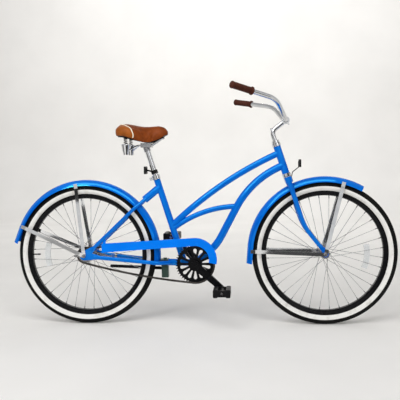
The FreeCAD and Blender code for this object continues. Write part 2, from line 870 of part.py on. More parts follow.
def fork():
    """Steerer with its crown, and two curved blades with flattened, drilled ends."""
    crown_low = CROWN_TOP - n.crown_height
    steerer = Part.makeCylinder(n.steerer_radius, STEERER_TOP - crown_low, steer(crown_low, 0), STEER_UP)
    plate = rounded_block(
        V(0, 0, n.crown_height / 2),
        V(n.crown_depth, 2 * n.crown_half_width, n.crown_height),
        n.crown_depth / 2 - n.edge_gap,
        UP,
    )
    plate.Placement = FreeCAD.Placement(steer(crown_low, 0), FreeCAD.Rotation(STEER_AHEAD, SIDE, STEER_UP, "ZXY"))
    bore = Part.makeCylinder(n.steerer_bore, STEERER_TOP, steer(crown_low + n.crown_height / 2, 0), STEER_UP)
    crown = steerer.fuse(plate).removeSplitter().cut(bore)

    low = n.front_old / 2
    end_centre = low + n.fork_end_thickness / 2
    path = bent(
        [
            steer(CROWN_TOP, 0, n.blade_half_spread),
            steer(n.blade_bend_up, 0, end_centre),
            FRONT + STEER_UP * n.fork_end_radius + SIDE * end_centre,
        ],
        [n.blade_bend],
    )
    blade = rod(path, n.blade_radius, n.blade_tip_radius)
    tip = FRONT + STEER_UP * 2 * n.fork_end_radius
    end = hull_plate(FRONT, n.fork_end_radius, tip, n.blade_tip_radius, low, n.fork_end_thickness)
    keep_out = block(
        FRONT + SIDE * (low - n.fork_end_radius),
        V(4 * n.fork_end_radius, 2 * n.fork_end_radius, 4 * n.fork_end_radius),
    )
    hole = across(FRONT, n.front_axle_radius + n.thread_gap, low - n.overrun, n.fork_end_thickness + 2 * n.overrun)
    outer_room = block(
        FRONT + SIDE * (low + n.fork_end_thickness + n.fork_end_radius),
        V(4 * n.fork_end_radius, 2 * n.fork_end_radius, 5 * n.fork_end_radius),
    )
    blade = largest(blade.cut(keep_out).cut(outer_room).fuse(end).removeSplitter().cut(hole))
    crown_holes = [blade, mirrored(blade)]
    node("fork_crown", feature("fork_crown", largest(crown.cut(Part.makeCompound(crown_holes)))))
    both_sides("fork_blades", blade)


# Stem, handlebar and grips


def cockpit():
    """Quill stem, swept handlebar and grips."""
    elbow_up = n.head_tube_above_axle + n.head_tube_length + n.elbow_above_head
    quill_low = STEERER_TOP - n.quill_depth
    clamp = steer(elbow_up + n.clamp_rise, n.clamp_reach)
    path = bent([steer(quill_low, 0), steer(elbow_up, 0), clamp], [n.stem_bend])
    stem = rod(path, n.quill_radius)
    stem = stem.fuse(across(clamp, n.clamp_radius, -n.clamp_length / 2, n.clamp_length))
    bore = across(clamp, n.bar_centre_radius + n.clamp_gap, -n.clamp_length, 2 * n.clamp_length)
    below = (clamp - steer(elbow_up, 0)).normalize()
    slit_size = V(n.clamp_slit, 2 * n.clamp_length, 2 * n.clamp_radius)
    slit = block(V(0, 0, -n.clamp_radius), slit_size)
    slit.Placement = FreeCAD.Placement(clamp, FreeCAD.Rotation(V(0, 0, -1), V(below.z, 0, -below.x)))
    node("stem", feature("stem", largest(stem.cut(bore).cut(slit))))

    wedge_low = quill_low - n.quill_radius * 2
    wedge = Part.makeCylinder(n.quill_radius, n.quill_radius * 2 - n.clamp_gap, steer(wedge_low, 0), STEER_UP)
    head = Part.makeCylinder(n.screw_radius, n.quill_radius + n.screw_height, steer(elbow_up, 0), STEER_UP)
    pinch = clamp + V(below.z, 0, -below.x) * (n.clamp_radius + n.screw_radius + n.thread_gap)
    pinch_bolt = across(pinch, n.screw_radius, -n.clamp_length / 4, n.clamp_length / 2)
    group("stem_bolts", [
        feature("stem_wedge", wedge),
        feature("stem_expander_bolt", largest(head.cut(stem))),
        feature("stem_pinch_bolt", pinch_bolt.cut(stem)),
    ])

    def bar_point(back, rise, half):
        return clamp + V(-back, half, rise)

    half_points = [
        bar_point(0, 0, n.bar_straight_half),
        bar_point(n.bar_shoulder_back, n.bar_shoulder_rise, n.bar_shoulder_half),
        bar_point(n.bar_end_back, n.bar_end_rise, n.bar_end_half),
    ]
    points = [V(p.x, -p.y, p.z) for p in reversed(half_points)] + half_points
    bends = [n.bar_shoulder_bend, n.bar_root_bend, n.bar_root_bend, n.bar_shoulder_bend]
    bar_path = bent(points, bends)
    centre = across(clamp, n.bar_centre_radius, -n.bar_centre_length / 2, n.bar_centre_length)
    bar = rod(bar_path, n.bar_radius).fuse(centre).removeSplitter()
    node("handlebar", feature("handlebar", largest(bar.cut(rod(bar_path, n.bar_radius - n.bar_wall)))))

    hole = d.bar_radius + d.grip_gap
    top = d.grip_length - d.grip_cap
    grip = [
        (hole, 0),
        (d.grip_collar_radius, 0),
        (d.grip_collar_radius, d.grip_collar_width),
        (d.grip_radius, d.grip_collar_width * 2),
        (d.grip_radius, d.grip_length - d.grip_cap),
        (d.grip_radius - d.grip_cap, d.grip_length),
        (0, d.grip_length),
        (0, top),
        (hole, top),
    ]
    grips = []
    for side, name in ((1, "left"), (-1, "right")):
        end = V(half_points[2].x, side * half_points[2].y, half_points[2].z)
        shoulder = V(half_points[1].x, side * half_points[1].y, half_points[1].z)
        out = (end - shoulder).normalize()
        base = end - out * (n.grip_length - n.grip_cap - n.grip_gap)
        grips.append(turned(f"grip_{name}", grip, base, out))
    group("grips", grips)


# Wheels

def chord_depth(radius, half):
    """How far a circle's centre lies from a chord of a given half length."""
    depth = math.sqrt(radius.value ** 2 - half.value ** 2)
    return Size(depth, f"sqrt({radius.text} ^ 2 - {half.text} ^ 2)")


def tyre_and_valve(name, centre):
    """A hollow tyre, with the valve of its inner tube."""
    middle = d.tyre_radius - d.tyre_section_radius
    inner = d.tyre_section_radius - d.tyre_wall
    bead_inner = d.bead_half_gap - d.bead_thickness
    foot = RIM_OUTER - d.bead_depth
    outer_neck = middle - chord_depth(d.tyre_section_radius, d.bead_half_gap)
    inner_neck = middle - chord_depth(inner, bead_inner)
    outline = [
        (foot, -d.bead_half_gap),
        (outer_neck, -d.bead_half_gap, d.tyre_section_radius),
        (middle, -d.tyre_section_radius, d.tyre_section_radius),
        (d.tyre_radius, 0, d.tyre_section_radius),
        (middle, d.tyre_section_radius, d.tyre_section_radius),
        (outer_neck, d.bead_half_gap),
        (foot, d.bead_half_gap),
        (foot, bead_inner),
        (inner_neck, bead_inner, -inner),
        (middle, inner, -inner),
        (d.tyre_radius - d.tyre_wall, 0, -inner),
        (middle, -inner, -inner),
        (inner_neck, -bead_inner),
        (foot, -bead_inner),
    ]
    tyre = turned(name + "_casing", outline, centre, SIDE)
    inward = polar(-1, n.valve_angle)
    start = centre + polar(RIM_INNER.value - n.nipple_seat_gap, n.valve_angle)
    valve = cylinder(name + "_valve", d.valve_radius, d.valve_length, start, inward)
    group(name, [tyre, valve])


def rim(name, centre):
    """A deep single-wall rim with a lip for each tyre bead."""
    floor = RIM_INNER + d.rim_shoulder
    lip = d.rim_half_width - d.rim_wall
    outline = [
        (RIM_OUTER, -d.rim_half_width),
        (RIM_OUTER, -lip),
        (floor + d.rim_wall, -lip),
        (RIM_INNER + d.rim_wall, -d.rim_base_half_width),
        (RIM_INNER + d.rim_wall, d.rim_base_half_width),
        (floor + d.rim_wall, lip),
        (RIM_OUTER, lip),
        (RIM_OUTER, d.rim_half_width),
        (floor, d.rim_half_width),
        (RIM_INNER, d.rim_base_half_width),
        (RIM_INNER, -d.rim_base_half_width),
        (floor, -d.rim_half_width),
    ]
    node(name, turned(name, outline, centre, SIDE))


def hex_bar(start, end, radius):
    """A slim six-sided bar between two points."""
    along = end - start
    turn = FreeCAD.Rotation(UP, along)
    corners = [start + turn.multVec(V(*polar_flat(radius, 60 * side))) for side in range(7)]
    return Part.Face(Part.makePolygon(corners)).extrude(along)


def polar_flat(radius, angle):
    """Plane coordinates at a radius and an angle in degrees."""
    return radius * math.cos(math.radians(angle)), radius * math.sin(math.radians(angle)), 0


def spokes(name, centre, flange_radius, flange_half):
    """Crossed spokes, each with the nipple that draws it to the rim."""
    bars = []
    step = 360 / n.spoke_count
    beside = n.flange_thickness / 2 + n.spoke_radius + n.spoke_flange_gap
    seat = RIM_INNER.value - n.nipple_seat_gap
    for index in range(int(n.spoke_count)):
        side = 1 if index % 2 else -1
        lean = 1 if index // 2 % 2 else -1
        rim_angle = (index + 0.5) * step
        hub = centre + polar(flange_radius - n.spoke_hole_inset, rim_angle + lean * n.spoke_lean)
        hub = hub + SIDE * (side * flange_half + lean * beside)
        end = centre + polar(seat, rim_angle)
        away = (end - hub).normalize()
        neck = end - away * n.nipple_length
        bars.append(hex_bar(hub, neck, n.spoke_radius))
        bars.append(hex_bar(neck, end, n.nipple_radius))
    node(name, feature(name, Part.makeCompound(bars)))


def spoke_reflector(name, centre, angle, flange_radius, flange_half):
    """A curved lens clipped between the spokes, concentric with the wheel."""
    half = d.reflector_width / 2
    seat = RIM_INNER - d.nipple_seat_gap
    start = (flange_radius - d.spoke_hole_inset) * math.cos(math.radians(n.spoke_lean))
    spread = flange_half - d.flange_thickness / 2 - d.spoke_radius - d.spoke_flange_gap
    room = spread * (seat - d.reflector_orbit - half) / (seat - start)
    side = room - d.spoke_radius - d.nipple_seat_gap
    body, sketch = sketched(name, "XZ_Plane", [
        (d.reflector_orbit - half, -side),
        (d.reflector_orbit + half, -side),
        (d.reflector_orbit + half, side),
        (d.reflector_orbit - half, side),
    ])
    turn = body.newObject("PartDesign::Revolution", name + "_turn")
    turn.Profile = sketch
    turn.ReferenceAxis = (sketch, ["V_Axis"])
    turn.Midplane = True
    turn.setExpression("Angle", (d.reflector_length / d.reflector_orbit * math.degrees(1)).text)
    to_wheel = FreeCAD.Rotation(polar(1, angle), SIDE, SIDE, "XZY")
    body.Placement = FreeCAD.Placement(centre, to_wheel)
    node(name, body)


def hub(name, centre, flange_radius, flange_half, barrel, half, cone):
    """A hub shell with two spoke flanges, bored to run on the axle's cones."""
    thick = d.flange_thickness / 2
    bore = cone + d.bearing_gap
    side = [
        (flange_radius, flange_half - thick),
        (flange_radius, flange_half + thick),
        (barrel, flange_half + thick),
        (barrel, half),
        (bore, half),
    ]
    waist = (barrel, flange_half - thick * 2)
    far = [(radius, -along) for radius, along in reversed([waist] + side)]
    node(name, turned(name, far + [waist] + side, centre, SIDE))


def hex_nut(name, radius, hole, low, base, side):
    """A hexagon nut with its bore, set outside a given height on one side."""
    body, sketch = sketched(name, "XY_Plane", [
        (radius * share_x, radius * share_y) for share_x, share_y in HEX_SHARES
    ])
    pad = body.newObject("PartDesign::Pad", name + "_pad")
    pad.Profile = sketch
    pad.setExpression("Length", d.nut_length.text)
    bore = body.newObject("Sketcher::SketchObject", name + "_bore")
    bore.AttachmentSupport = sketch.AttachmentSupport
    bore.MapMode = "FlatFace"
    bore.addGeometry(Part.Circle(V(0, 0, 0), UP, float(hole)), False)
    bore.addConstraint([
        Sketcher.Constraint("Coincident", 0, 3, -1, 1),
        Sketcher.Constraint("Radius", 0, float(hole)),
    ])
    bore.setExpression("Constraints[1]", hole.text)
    cut = body.newObject("PartDesign::Pocket", name + "_hole")
    cut.Profile = bore
    cut.Type = "ThroughAll"
    cut.Midplane = True
    body.Placement = facing(base + SIDE * (side * float(low)), SIDE * side)
    return body


def axles():
    """Fixed axles with their cones and nuts, and the rear chain tugs."""
    for end, base in (("front", FRONT), ("rear", REAR)):
        radius = getattr(d, end + "_axle_radius")
        half = getattr(d, end + "_axle_half")
        cone = getattr(d, end + "_cone_radius")
        hub_half = getattr(d, end + "_hub_half")
        face = getattr(d, end + "_old") / 2
        hole = radius + d.thread_gap
        stays = face + d.stay_sheet * 2
        if end == "front":
            stays = stays + d.fork_end_thickness
        else:
            stays = stays + d.dropout_thickness + d.tug_thickness
        if end == "front":
            axle = cylinder("front_axle_bar", radius, half * 2, base - SIDE * float(half), SIDE)
        else:
            tip = radius - d.axle_tip_step
            shoulder = half - d.axle_tip_length
            axle = turned("rear_axle_bar", [
                (0, -half),
                (tip, -half),
                (tip, -shoulder),
                (radius, -shoulder),
                (radius, shoulder),
                (tip, shoulder),
                (tip, half),
                (0, half),
            ], base, SIDE)
        pieces = [axle]
        for side, word in ((1, "left"), (-1, "right")):
            axis = SIDE * side
            if end == "front":
                cone_end = face
            elif side > 0:
                cone_end = face - d.brake_arm_inset - d.bearing_gap
            else:
                cone_end = hub_half - d.bearing_gap
            pieces.append(ring(f"{end}_cone_{word}", hole, cone, hub_half / 2, cone_end, base, axis))
            pieces.append(hex_nut(f"{end}_nut_{word}", d.nut_flats_radius, hole, stays, base, side))
        if end == "rear":
            spacer_low = d.chain_line + d.driver_length / 2 + d.bearing_gap
            pieces.append(ring("rear_spacer", hole, cone, spacer_low, face, base, SIDE * -1))
            arm_out = face - d.brake_arm_inset + d.brake_arm_sheet + d.bearing_gap
            pieces.append(ring("rear_arm_spacer", hole, cone, arm_out, face, base, SIDE))
            pieces.extend(chain_tugs(float(face)))
        group(end + "_axle", pieces)


def chain_tugs(face):
    """Flat tugs that pull the rear axle back in its dropouts."""
    low = face + n.dropout_thickness
    tip = REAR + V(-n.tug_length, 0, 0)
    tug = hull_plate(REAR, n.tug_width / 2, tip, n.tug_width / 4, low, n.tug_thickness)
    hole = across(REAR, n.rear_axle_radius + n.thread_gap, low - n.overrun, n.tug_thickness + 2 * n.overrun)
    tug = tug.cut(hole)
    return [feature("chain_tug_left", tug), feature("chain_tug_right", mirrored(tug))]


# Fenders and their stays

def fender_section(centre, radius, sheet, angle):
    """The curved section of a fender, as a face through the axle at an angle."""
    edge = FENDER_RADIUS - n.fender_depth

    def point(reach, half):
        return centre + polar(reach, angle) + SIDE * half

    inner_half = n.fender_half_width - sheet
    return Part.Face(Part.Wire([
        Part.Arc(
            point(edge, -n.fender_half_width), point(radius, 0), point(edge, n.fender_half_width),
        ).toShape(),
        Part.LineSegment(point(edge, n.fender_half_width), point(edge, inner_half)).toShape(),
        Part.Arc(point(edge, inner_half), point(radius - sheet, 0), point(edge, -inner_half)).toShape(),
        Part.LineSegment(point(edge, -inner_half), point(edge, -n.fender_half_width)).toShape(),
    ]))


def fender(name, centre, start, sweep):
    """A rolled mudguard round a wheel, with a straight flared tail."""
    section = fender_section(centre, FENDER_RADIUS, n.fender_sheet, start)
    arch = section.revolve(centre, SIDE * -1, sweep)
    tail = fender_section(centre, FENDER_RADIUS, n.fender_sheet, start + sweep)
    tangent = polar(1, start + sweep + 90)
    return feature(name, arch.fuse(tail.extrude(tangent * n.fender_flare)).removeSplitter())


def fender_ring(centre):
    """The room that a fender takes all round its wheel, with a seat gap."""
    radius = FENDER_RADIUS + n.stay_seat_gap
    width = 2 * n.fender_half_width
    return across(centre, radius, -width / 2, width)


def fender_stay(centre, angle, eye_low, hole_radius):
    """A flat strip from the axle's end to the edge of the fender, on the left."""
    edge = FENDER_RADIUS - n.fender_depth
    seat = n.fender_half_width + n.stay_seat_gap
    path = [
        (-n.stay_width / 2, eye_low),
        (n.stay_eye_reach, eye_low),
        (edge - n.stay_foot / 2, seat),
        (edge + n.stay_foot / 2, seat),
    ]
    corners = path + [(reach, half + n.stay_sheet) for reach, half in reversed(path)]
    tangent = polar(1, angle + 90)
    points = [centre + polar(reach, angle) + SIDE * half - tangent * (n.stay_width / 2) for reach, half in corners]
    strip = Part.Face(Part.makePolygon(points + points[:1])).extrude(tangent * n.stay_width)
    round_end = [edge_ for edge_ in strip.Edges if abs(edge_.tangentAt(edge_.FirstParameter).dot(SIDE)) > PARALLEL_SHARE]
    eye_edges = [e for e in round_end if (e.CenterOfMass - centre).Length < 2 * eye_low]
    strip = strip.makeFillet(n.stay_width / 2 - n.edge_gap, eye_edges)
    return strip.cut(across(centre, hole_radius, eye_low - n.overrun, n.stay_sheet + 2 * n.overrun))


def fender_bolt(name, base, heading, rooms):
    """A bolt with its spacer, from its seat to the crown of the fender."""
    bolt = Part.makeCylinder(n.screw_radius, n.fender_bolt_length, base, heading)
    return feature(name, largest(bolt.cut(Part.makeCompound(rooms))))


def fenders():
    """Both fenders, with the two pairs of stays and the bolt that hold each."""
    node("front_fender", fender("front_fender", FRONT, n.front_fender_start_angle, n.front_fender_sweep_angle))
    node("rear_fender", fender("rear_fender", REAR, n.rear_fender_start_angle, n.rear_fender_sweep_angle))
    front_low = n.front_old / 2 + n.fork_end_thickness
    rear_low = n.rear_old / 2 + n.dropout_thickness + n.tug_thickness
    for end, centre, low in (("front", FRONT, front_low), ("rear", REAR, rear_low)):
        hole = getattr(n, end + "_axle_radius") + n.thread_gap
        pieces = []
        for layer, word in enumerate(("upper", "lower")):
            angle = getattr(n, f"{end}_{word}_stay_angle")
            stay = fender_stay(centre, angle, low + layer * n.stay_sheet, hole)
            pieces.append(feature(f"{end}_{word}_stay_left", stay))
            pieces.append(feature(f"{end}_{word}_stay_right", mirrored(stay)))
        if end == "front":
            seat_point = steer(CROWN_TOP - n.crown_height, 0)
            heading = STEER_UP * -1
            rooms = [fender_ring(FRONT)]
        else:
            seat_point = WISHBONE_END
            heading = (REAR - WISHBONE_END).normalize()
            rooms = [fender_ring(REAR), WISHBONE_ROD]
        pieces.append(fender_bolt(end + "_fender_bolt", seat_point, heading, rooms))
        group(end + "_fender_stays", pieces)


# Drive

def toothed_wheel(teeth, centre, phase):
    """A toothed plate across Y whose gaps clear the chain's rollers, with one gap at phase."""
    pitch = pitch_radius(teeth)
    seat = n.chain_roller_radius / math.cos(math.radians(30))
    tip_radius = pitch + n.tooth_height
    half_step = math.pi / teeth
    tip_turn = n.tooth_tip_half / tip_radius
    points = []
    for tooth in range(int(teeth)):
        gap = math.radians(phase) + 2 * half_step * tooth
        root = V(math.cos(gap), 0, math.sin(gap))
        along = V(-math.sin(gap), 0, math.cos(gap))
        for turn in (-60, 0, 60):
            inward = seat * math.cos(math.radians(turn))
            sideways = seat * math.sin(math.radians(turn))
            points.append(root * (pitch - inward) + along * sideways)
        for turn in (half_step - tip_turn, half_step + tip_turn):
            points.append(V(math.cos(gap + turn), 0, math.sin(gap + turn)) * tip_radius)
    face = Part.Face(Part.makePolygon([centre + p for p in points] + [centre + points[0]]))
    plate = face.extrude(SIDE * n.tooth_thickness)
    plate.translate(V(0, -n.chain_line - n.tooth_thickness / 2, 0))
    return plate


class ChainPath:
    """The line of the chain's pins: both wraps, a straight upper run and a sagging lower run."""

    def __init__(self, sag):
        lean = math.asin((RING_PITCH - SPROCKET_PITCH) / STAY_REACH)
        heading = math.atan2(REAR.z - CRANK.z, REAR.x - CRANK.x)
        upper = heading - math.pi / 2 + lean
        lower = heading + math.pi / 2 - lean
        ring_upper = CRANK + angled(RING_PITCH, upper)
        ring_lower = CRANK + angled(RING_PITCH, lower)
        sprocket_upper = REAR + angled(SPROCKET_PITCH, upper)
        sprocket_lower = REAR + angled(SPROCKET_PITCH, lower)
        sprocket_far = REAR + angled(SPROCKET_PITCH, heading)
        ring_far = CRANK + angled(RING_PITCH, heading + math.pi)
        middle = (sprocket_lower + ring_lower) * 0.5
        dip = angled(1, (upper + lower) / 2 + math.pi / 2)
        if dip.z > 0:
            dip = dip * -1
        self.edges = [
            Part.LineSegment(ring_upper, sprocket_upper).toShape(),
            Part.Arc(sprocket_upper, sprocket_far, sprocket_lower).toShape(),
            Part.Arc(sprocket_lower, middle + dip * sag, ring_lower).toShape(),
            Part.Arc(ring_lower, ring_far, ring_upper).toShape(),
        ]
        runs = self.edges[0].Length + self.edges[2].Length
        wraps = n.sprocket_teeth * (math.pi - 2 * lean) + n.ring_teeth * (math.pi + 2 * lean)
        self.links = runs / n.chain_pitch + wraps / (2 * math.pi)

    def pins(self):
        """Step round the path one pitch at a time, measured straight from pin to pin."""
        places = [self.edges[0].valueAt(self.edges[0].FirstParameter)]
        ends = [0.0]
        for edge in self.edges:
            ends.append(ends[-1] + edge.Length)

        def point(distance):
            place = distance % ends[-1]
            index = max(i for i in range(len(self.edges)) if ends[i] <= place)
            edge = self.edges[index]
            share = (place - ends[index]) / edge.Length
            return edge.valueAt(edge.FirstParameter + share * (edge.LastParameter - edge.FirstParameter))

        distance = 0.0
        for _ in range(int(n.chain_links)):
            here = places[-1]
            distance += n.chain_pitch
            for _ in range(4):
                distance += n.chain_pitch - (point(distance) - here).Length
            places.append(point(distance))
        return places


def angled(radius, angle):
    """A point of the wheel's plane, with its angle in radians."""
    return V(radius * math.cos(angle), 0, radius * math.sin(angle))


def link_plate(start, end, low):
    """A six-cornered link plate round two pins, from the face at y = low."""
    along = (end - start).normalize()
    up = V(-along.z, 0, along.x)
    half = n.chain_plate_half
    corners = [
        start - along * half,
        start - along * (half / 2) + up * half,
        end + along * (half / 2) + up * half,
        end + along * half,
        end + along * (half / 2) - up * half,
        start - along * (half / 2) - up * half,
    ]
    corners = [V(p.x, low, p.z) for p in corners]
    return Part.Face(Part.makePolygon(corners + corners[:1])).extrude(SIDE * n.chain_plate)


def roller(centre):
    """A six-sided stand-in for a roller, as wide as the gap between inner plates."""
    half = n.chain_inner_width / 2
    corners = [centre + polar(n.chain_roller_radius, 60 * side) for side in range(7)]
    return Part.Face(Part.makePolygon([p - SIDE * half for p in corners])).extrude(SIDE * n.chain_inner_width)


def chain(places):
    """Inner links with their rollers, and outer links over them."""
    line = V(0, -n.chain_line, 0)
    inner_low = n.chain_inner_width / 2
    outer_low = inner_low + n.chain_plate + n.chain_plate_gap
    inner = []
    outer = []
    for index, (start, end) in enumerate(zip(places, places[1:])):
        low = outer_low if index % 2 else inner_low
        plates = [link_plate(start, end, low), link_plate(start, end, -low - n.chain_plate)]
        if index % 2:
            outer.extend(plates)
        else:
            inner.append(plates[0].multiFuse([plates[1], roller(start), roller(end)]))
    for name, links in (("chain_inner_links", inner), ("chain_outer_links", outer)):
        shape = Part.makeCompound(links)
        shape.translate(line)
        node(name, feature(name, shape))


def drive():
    """Chain, chainring, sprocket, cranks, bottom bracket and pedals."""
    sag = solve(lambda dip: ChainPath(dip).links - n.chain_links, n.chain_slack, n.chain_pitch * 4)
    places = ChainPath(sag).pins()
    print("chain sag", round(sag, 2), "closing error", round((places[0] - places[-1]).Length, 4))
    places[-1] = places[0]
    chain(places)

    top = places[0] - CRANK
    ring_plate = toothed_wheel(n.ring_teeth, CRANK, math.degrees(math.atan2(top.z, top.x)))
    low = -n.chain_line - n.tooth_thickness
    for index in range(int(n.ring_slots)):
        angle = 90 + 360 / n.ring_slots * index
        slot = hull_plate(
            CRANK + polar(n.slot_inner_orbit, angle), n.slot_inner_radius,
            CRANK + polar(n.slot_outer_orbit, angle), n.slot_outer_radius,
            low, 2 * n.tooth_thickness,
        )
        ring_plate = ring_plate.cut(slot)
    ring_plate = ring_plate.cut(across(CRANK, n.ring_bore, low, 2 * n.tooth_thickness))
    node("chainring", feature("chainring", ring_plate))

    seated = min(places, key=lambda p: (p - (REAR + BACK * SPROCKET_PITCH)).Length) - REAR
    cog = toothed_wheel(n.sprocket_teeth, REAR, math.degrees(math.atan2(seated.z, seated.x)))
    cog = cog.cut(across(REAR, n.driver_radius + n.thread_gap, low, 2 * n.tooth_thickness))
    half = d.driver_length / 2
    driver = ring(
        "sprocket_driver", d.rear_axle_radius + d.bearing_gap, d.driver_radius,
        d.chain_line - half, d.chain_line + half, REAR, SIDE * -1,
    )
    group("rear_sprocket", [feature("sprocket_plate", cog), driver])
    cranks()


def cranks():
    """The crank axle in its cups, both arms, and both pedals on their spindles."""
    outer = d.crank_inner + d.crank_thickness
    hole = d.crank_axle_radius + d.thread_gap
    axle = cylinder("crank_axle_bar", d.crank_axle_radius, outer * 2, CRANK - SIDE * float(outer), SIDE)
    caps = [
        ring(f"crank_cap_{word}", as_size(0), d.crank_cap_radius, outer, outer + d.crank_cap_height, CRANK, axis)
        for word, axis in (("left", SIDE), ("right", SIDE * -1))
    ]
    group("crank_axle", [axle] + caps)
    half = d.shell_length / 2
    cups = []
    for word, axis in (("left", SIDE), ("right", SIDE * -1)):
        cups.append(turned(f"bottom_bracket_cup_{word}", [
            (d.crank_axle_radius + d.bearing_gap, half - d.cup_depth),
            (d.shell_bore - d.thread_gap, half - d.cup_depth),
            (d.shell_bore - d.thread_gap, half),
            (d.cup_lip_radius, half),
            (d.cup_lip_radius, half + d.cup_lip),
            (d.crank_axle_radius + d.bearing_gap, half + d.cup_lip),
        ], CRANK, axis))
    group("bottom_bracket_cups", cups)

    arms = []
    spindles = []
    for word, side, turn in (("right", -1, 0), ("left", 1, 180)):
        end = CRANK + polar(n.crank_length, n.crank_angle + turn)
        low = n.crank_inner if side > 0 else -n.crank_inner - n.crank_thickness
        arm = hull_plate(CRANK, n.crank_root_radius, end, n.crank_end_radius, low, n.crank_thickness)
        ring_face = n.chain_line + n.tooth_thickness / 2
        if side < 0:
            boss = across(CRANK, n.crank_boss_radius, -n.crank_inner, n.crank_inner - ring_face)
            arm = arm.fuse(boss).removeSplitter()
        arm = arm.cut(across(CRANK, float(hole), -2 * n.crank_inner, 4 * n.crank_inner))
        arm = arm.cut(across(end, n.pedal_spindle_radius + n.thread_gap, -2 * n.crank_inner, 4 * n.crank_inner))
        arms.append(feature(f"crank_arm_{word}", arm))
        spindles.append(turned(f"pedal_spindle_{word}", [
            (0, d.crank_inner),
            (d.pedal_spindle_radius, d.crank_inner),
            (d.pedal_spindle_radius, outer),
            (d.pedal_root_radius, outer),
            (d.pedal_root_radius, d.pedal_inner - d.stand_gap),
            (d.pedal_spindle_radius, d.pedal_inner - d.stand_gap),
            (d.pedal_spindle_radius, d.pedal_inner + d.pedal_length - d.pedal_plate),
            (0, d.pedal_inner + d.pedal_length - d.pedal_plate),
        ], end, SIDE * side))
        node(f"{word}_pedal", feature(f"{word}_pedal", pedal(end, side)))
    group("crank_arms", arms)
    group("pedal_spindles", spindles)


def pedal(end, side):
    """A resin pedal: two tread blocks, two end plates and a barrel round the spindle."""
    middle = end + SIDE * (side * (n.pedal_inner + n.pedal_length / 2))
    body = across(middle, n.pedal_barrel_radius, middle.y - n.pedal_length / 2, n.pedal_length)
    solids = []
    for turn in (-1, 1):
        tread = V((n.pedal_width - n.pedal_tread) / 2 * turn, 0, 0)
        size = V(n.pedal_tread, n.pedal_length, n.pedal_height)
        solids.append(rounded_block(middle + tread, size, n.pedal_tread / 4, SIDE))
        plate = SIDE * ((n.pedal_length - n.pedal_plate) / 2 * turn)
        plate_size = V(n.pedal_width - n.pedal_tread, n.pedal_plate, n.pedal_height * PEDAL_PLATE_SHARE)
        solids.append(block(middle + plate, plate_size))
    body = body.multiFuse(solids).removeSplitter()
    start = middle.y - side * n.pedal_length
    depth = 2 * n.pedal_length - n.pedal_plate + n.pedal_gap
    low = min(start, start + side * depth)
    return body.cut(across(end, n.pedal_spindle_radius + n.pedal_gap, low, depth))


def chain_guard():
    """A sheet guard along the upper run that rounds the chainring, with a turned-in lip."""
    nose = CRANK + V(0, 0, n.guard_nose_up)
    tail_top = CRANK + V(-n.guard_tail_back, 0, n.guard_tail_up)
    tail_low = tail_top - V(0, 0, n.guard_tail_band)
    inner_radius = n.guard_nose_radius - n.guard_band

    def tangent_up(radius, far):
        """The upper tangent point of the nose's circle seen from a far point."""
        reach = far - nose
        lean = math.acos(radius / reach.Length)
        return nose + angled(radius, math.atan2(reach.z, reach.x) - lean)

    def outline(shrink):
        """The closed outline at one Y, drawn in from its outer edge by shrink."""
        high = tail_top - V(0, 0, shrink)
        outer = n.guard_nose_radius - shrink
        foot = math.asin(n.guard_nose_up / n.guard_nose_radius)
        first = tangent_up(outer, high)
        top_angle = math.atan2((first - nose).z, (first - nose).x)
        last = nose + angled(outer, -foot)
        turn_in = nose + angled(inner_radius, -foot)
        inner = tangent_up(inner_radius, tail_low)
        inner_angle = math.atan2((inner - nose).z, (inner - nose).x)
        return Part.Face(Part.Wire([
            Part.LineSegment(high, first).toShape(),
            Part.Arc(first, nose + angled(outer, (top_angle - foot) / 2), last).toShape(),
            Part.LineSegment(last, turn_in).toShape(),
            Part.Arc(turn_in, nose + angled(inner_radius, (inner_angle - foot) / 2), inner).toShape(),
            Part.LineSegment(inner, tail_low).toShape(),
            Part.LineSegment(tail_low, high).toShape(),
        ]))

    sheet = outline(0).extrude(SIDE * n.guard_sheet)
    lip = outline(0).extrude(SIDE * n.guard_lip).cut(outline(n.guard_sheet).extrude(SIDE * n.guard_lip))
    guard = sheet.fuse(lip).removeSplitter()
    guard.translate(V(0, -n.guard_line, 0))
    tab_centre = tail_top + V(n.guard_tab_width, -n.guard_line + n.guard_sheet / 2, n.guard_tab_width / 2)
    tab = block(tab_centre, V(n.guard_tab_width, n.guard_sheet, 2 * n.guard_tab_width))
    stays = NODES["seat_stays"].Links[1].Shape
    guard = guard.fuse(tab).removeSplitter().cut(stays)
    post = nose + angled(n.guard_nose_radius - n.guard_band / 4, math.radians(30))
    strut = across(post, n.screw_radius, -n.guard_line + n.guard_sheet, n.guard_line)
    strut = max(strut.cut(DOWN_ROD).Solids, key=lambda solid: -solid.CenterOfMass.y)
    node("chain_guard", feature("chain_guard", largest(largest(guard).fuse(strut).removeSplitter())))


# Kickstand

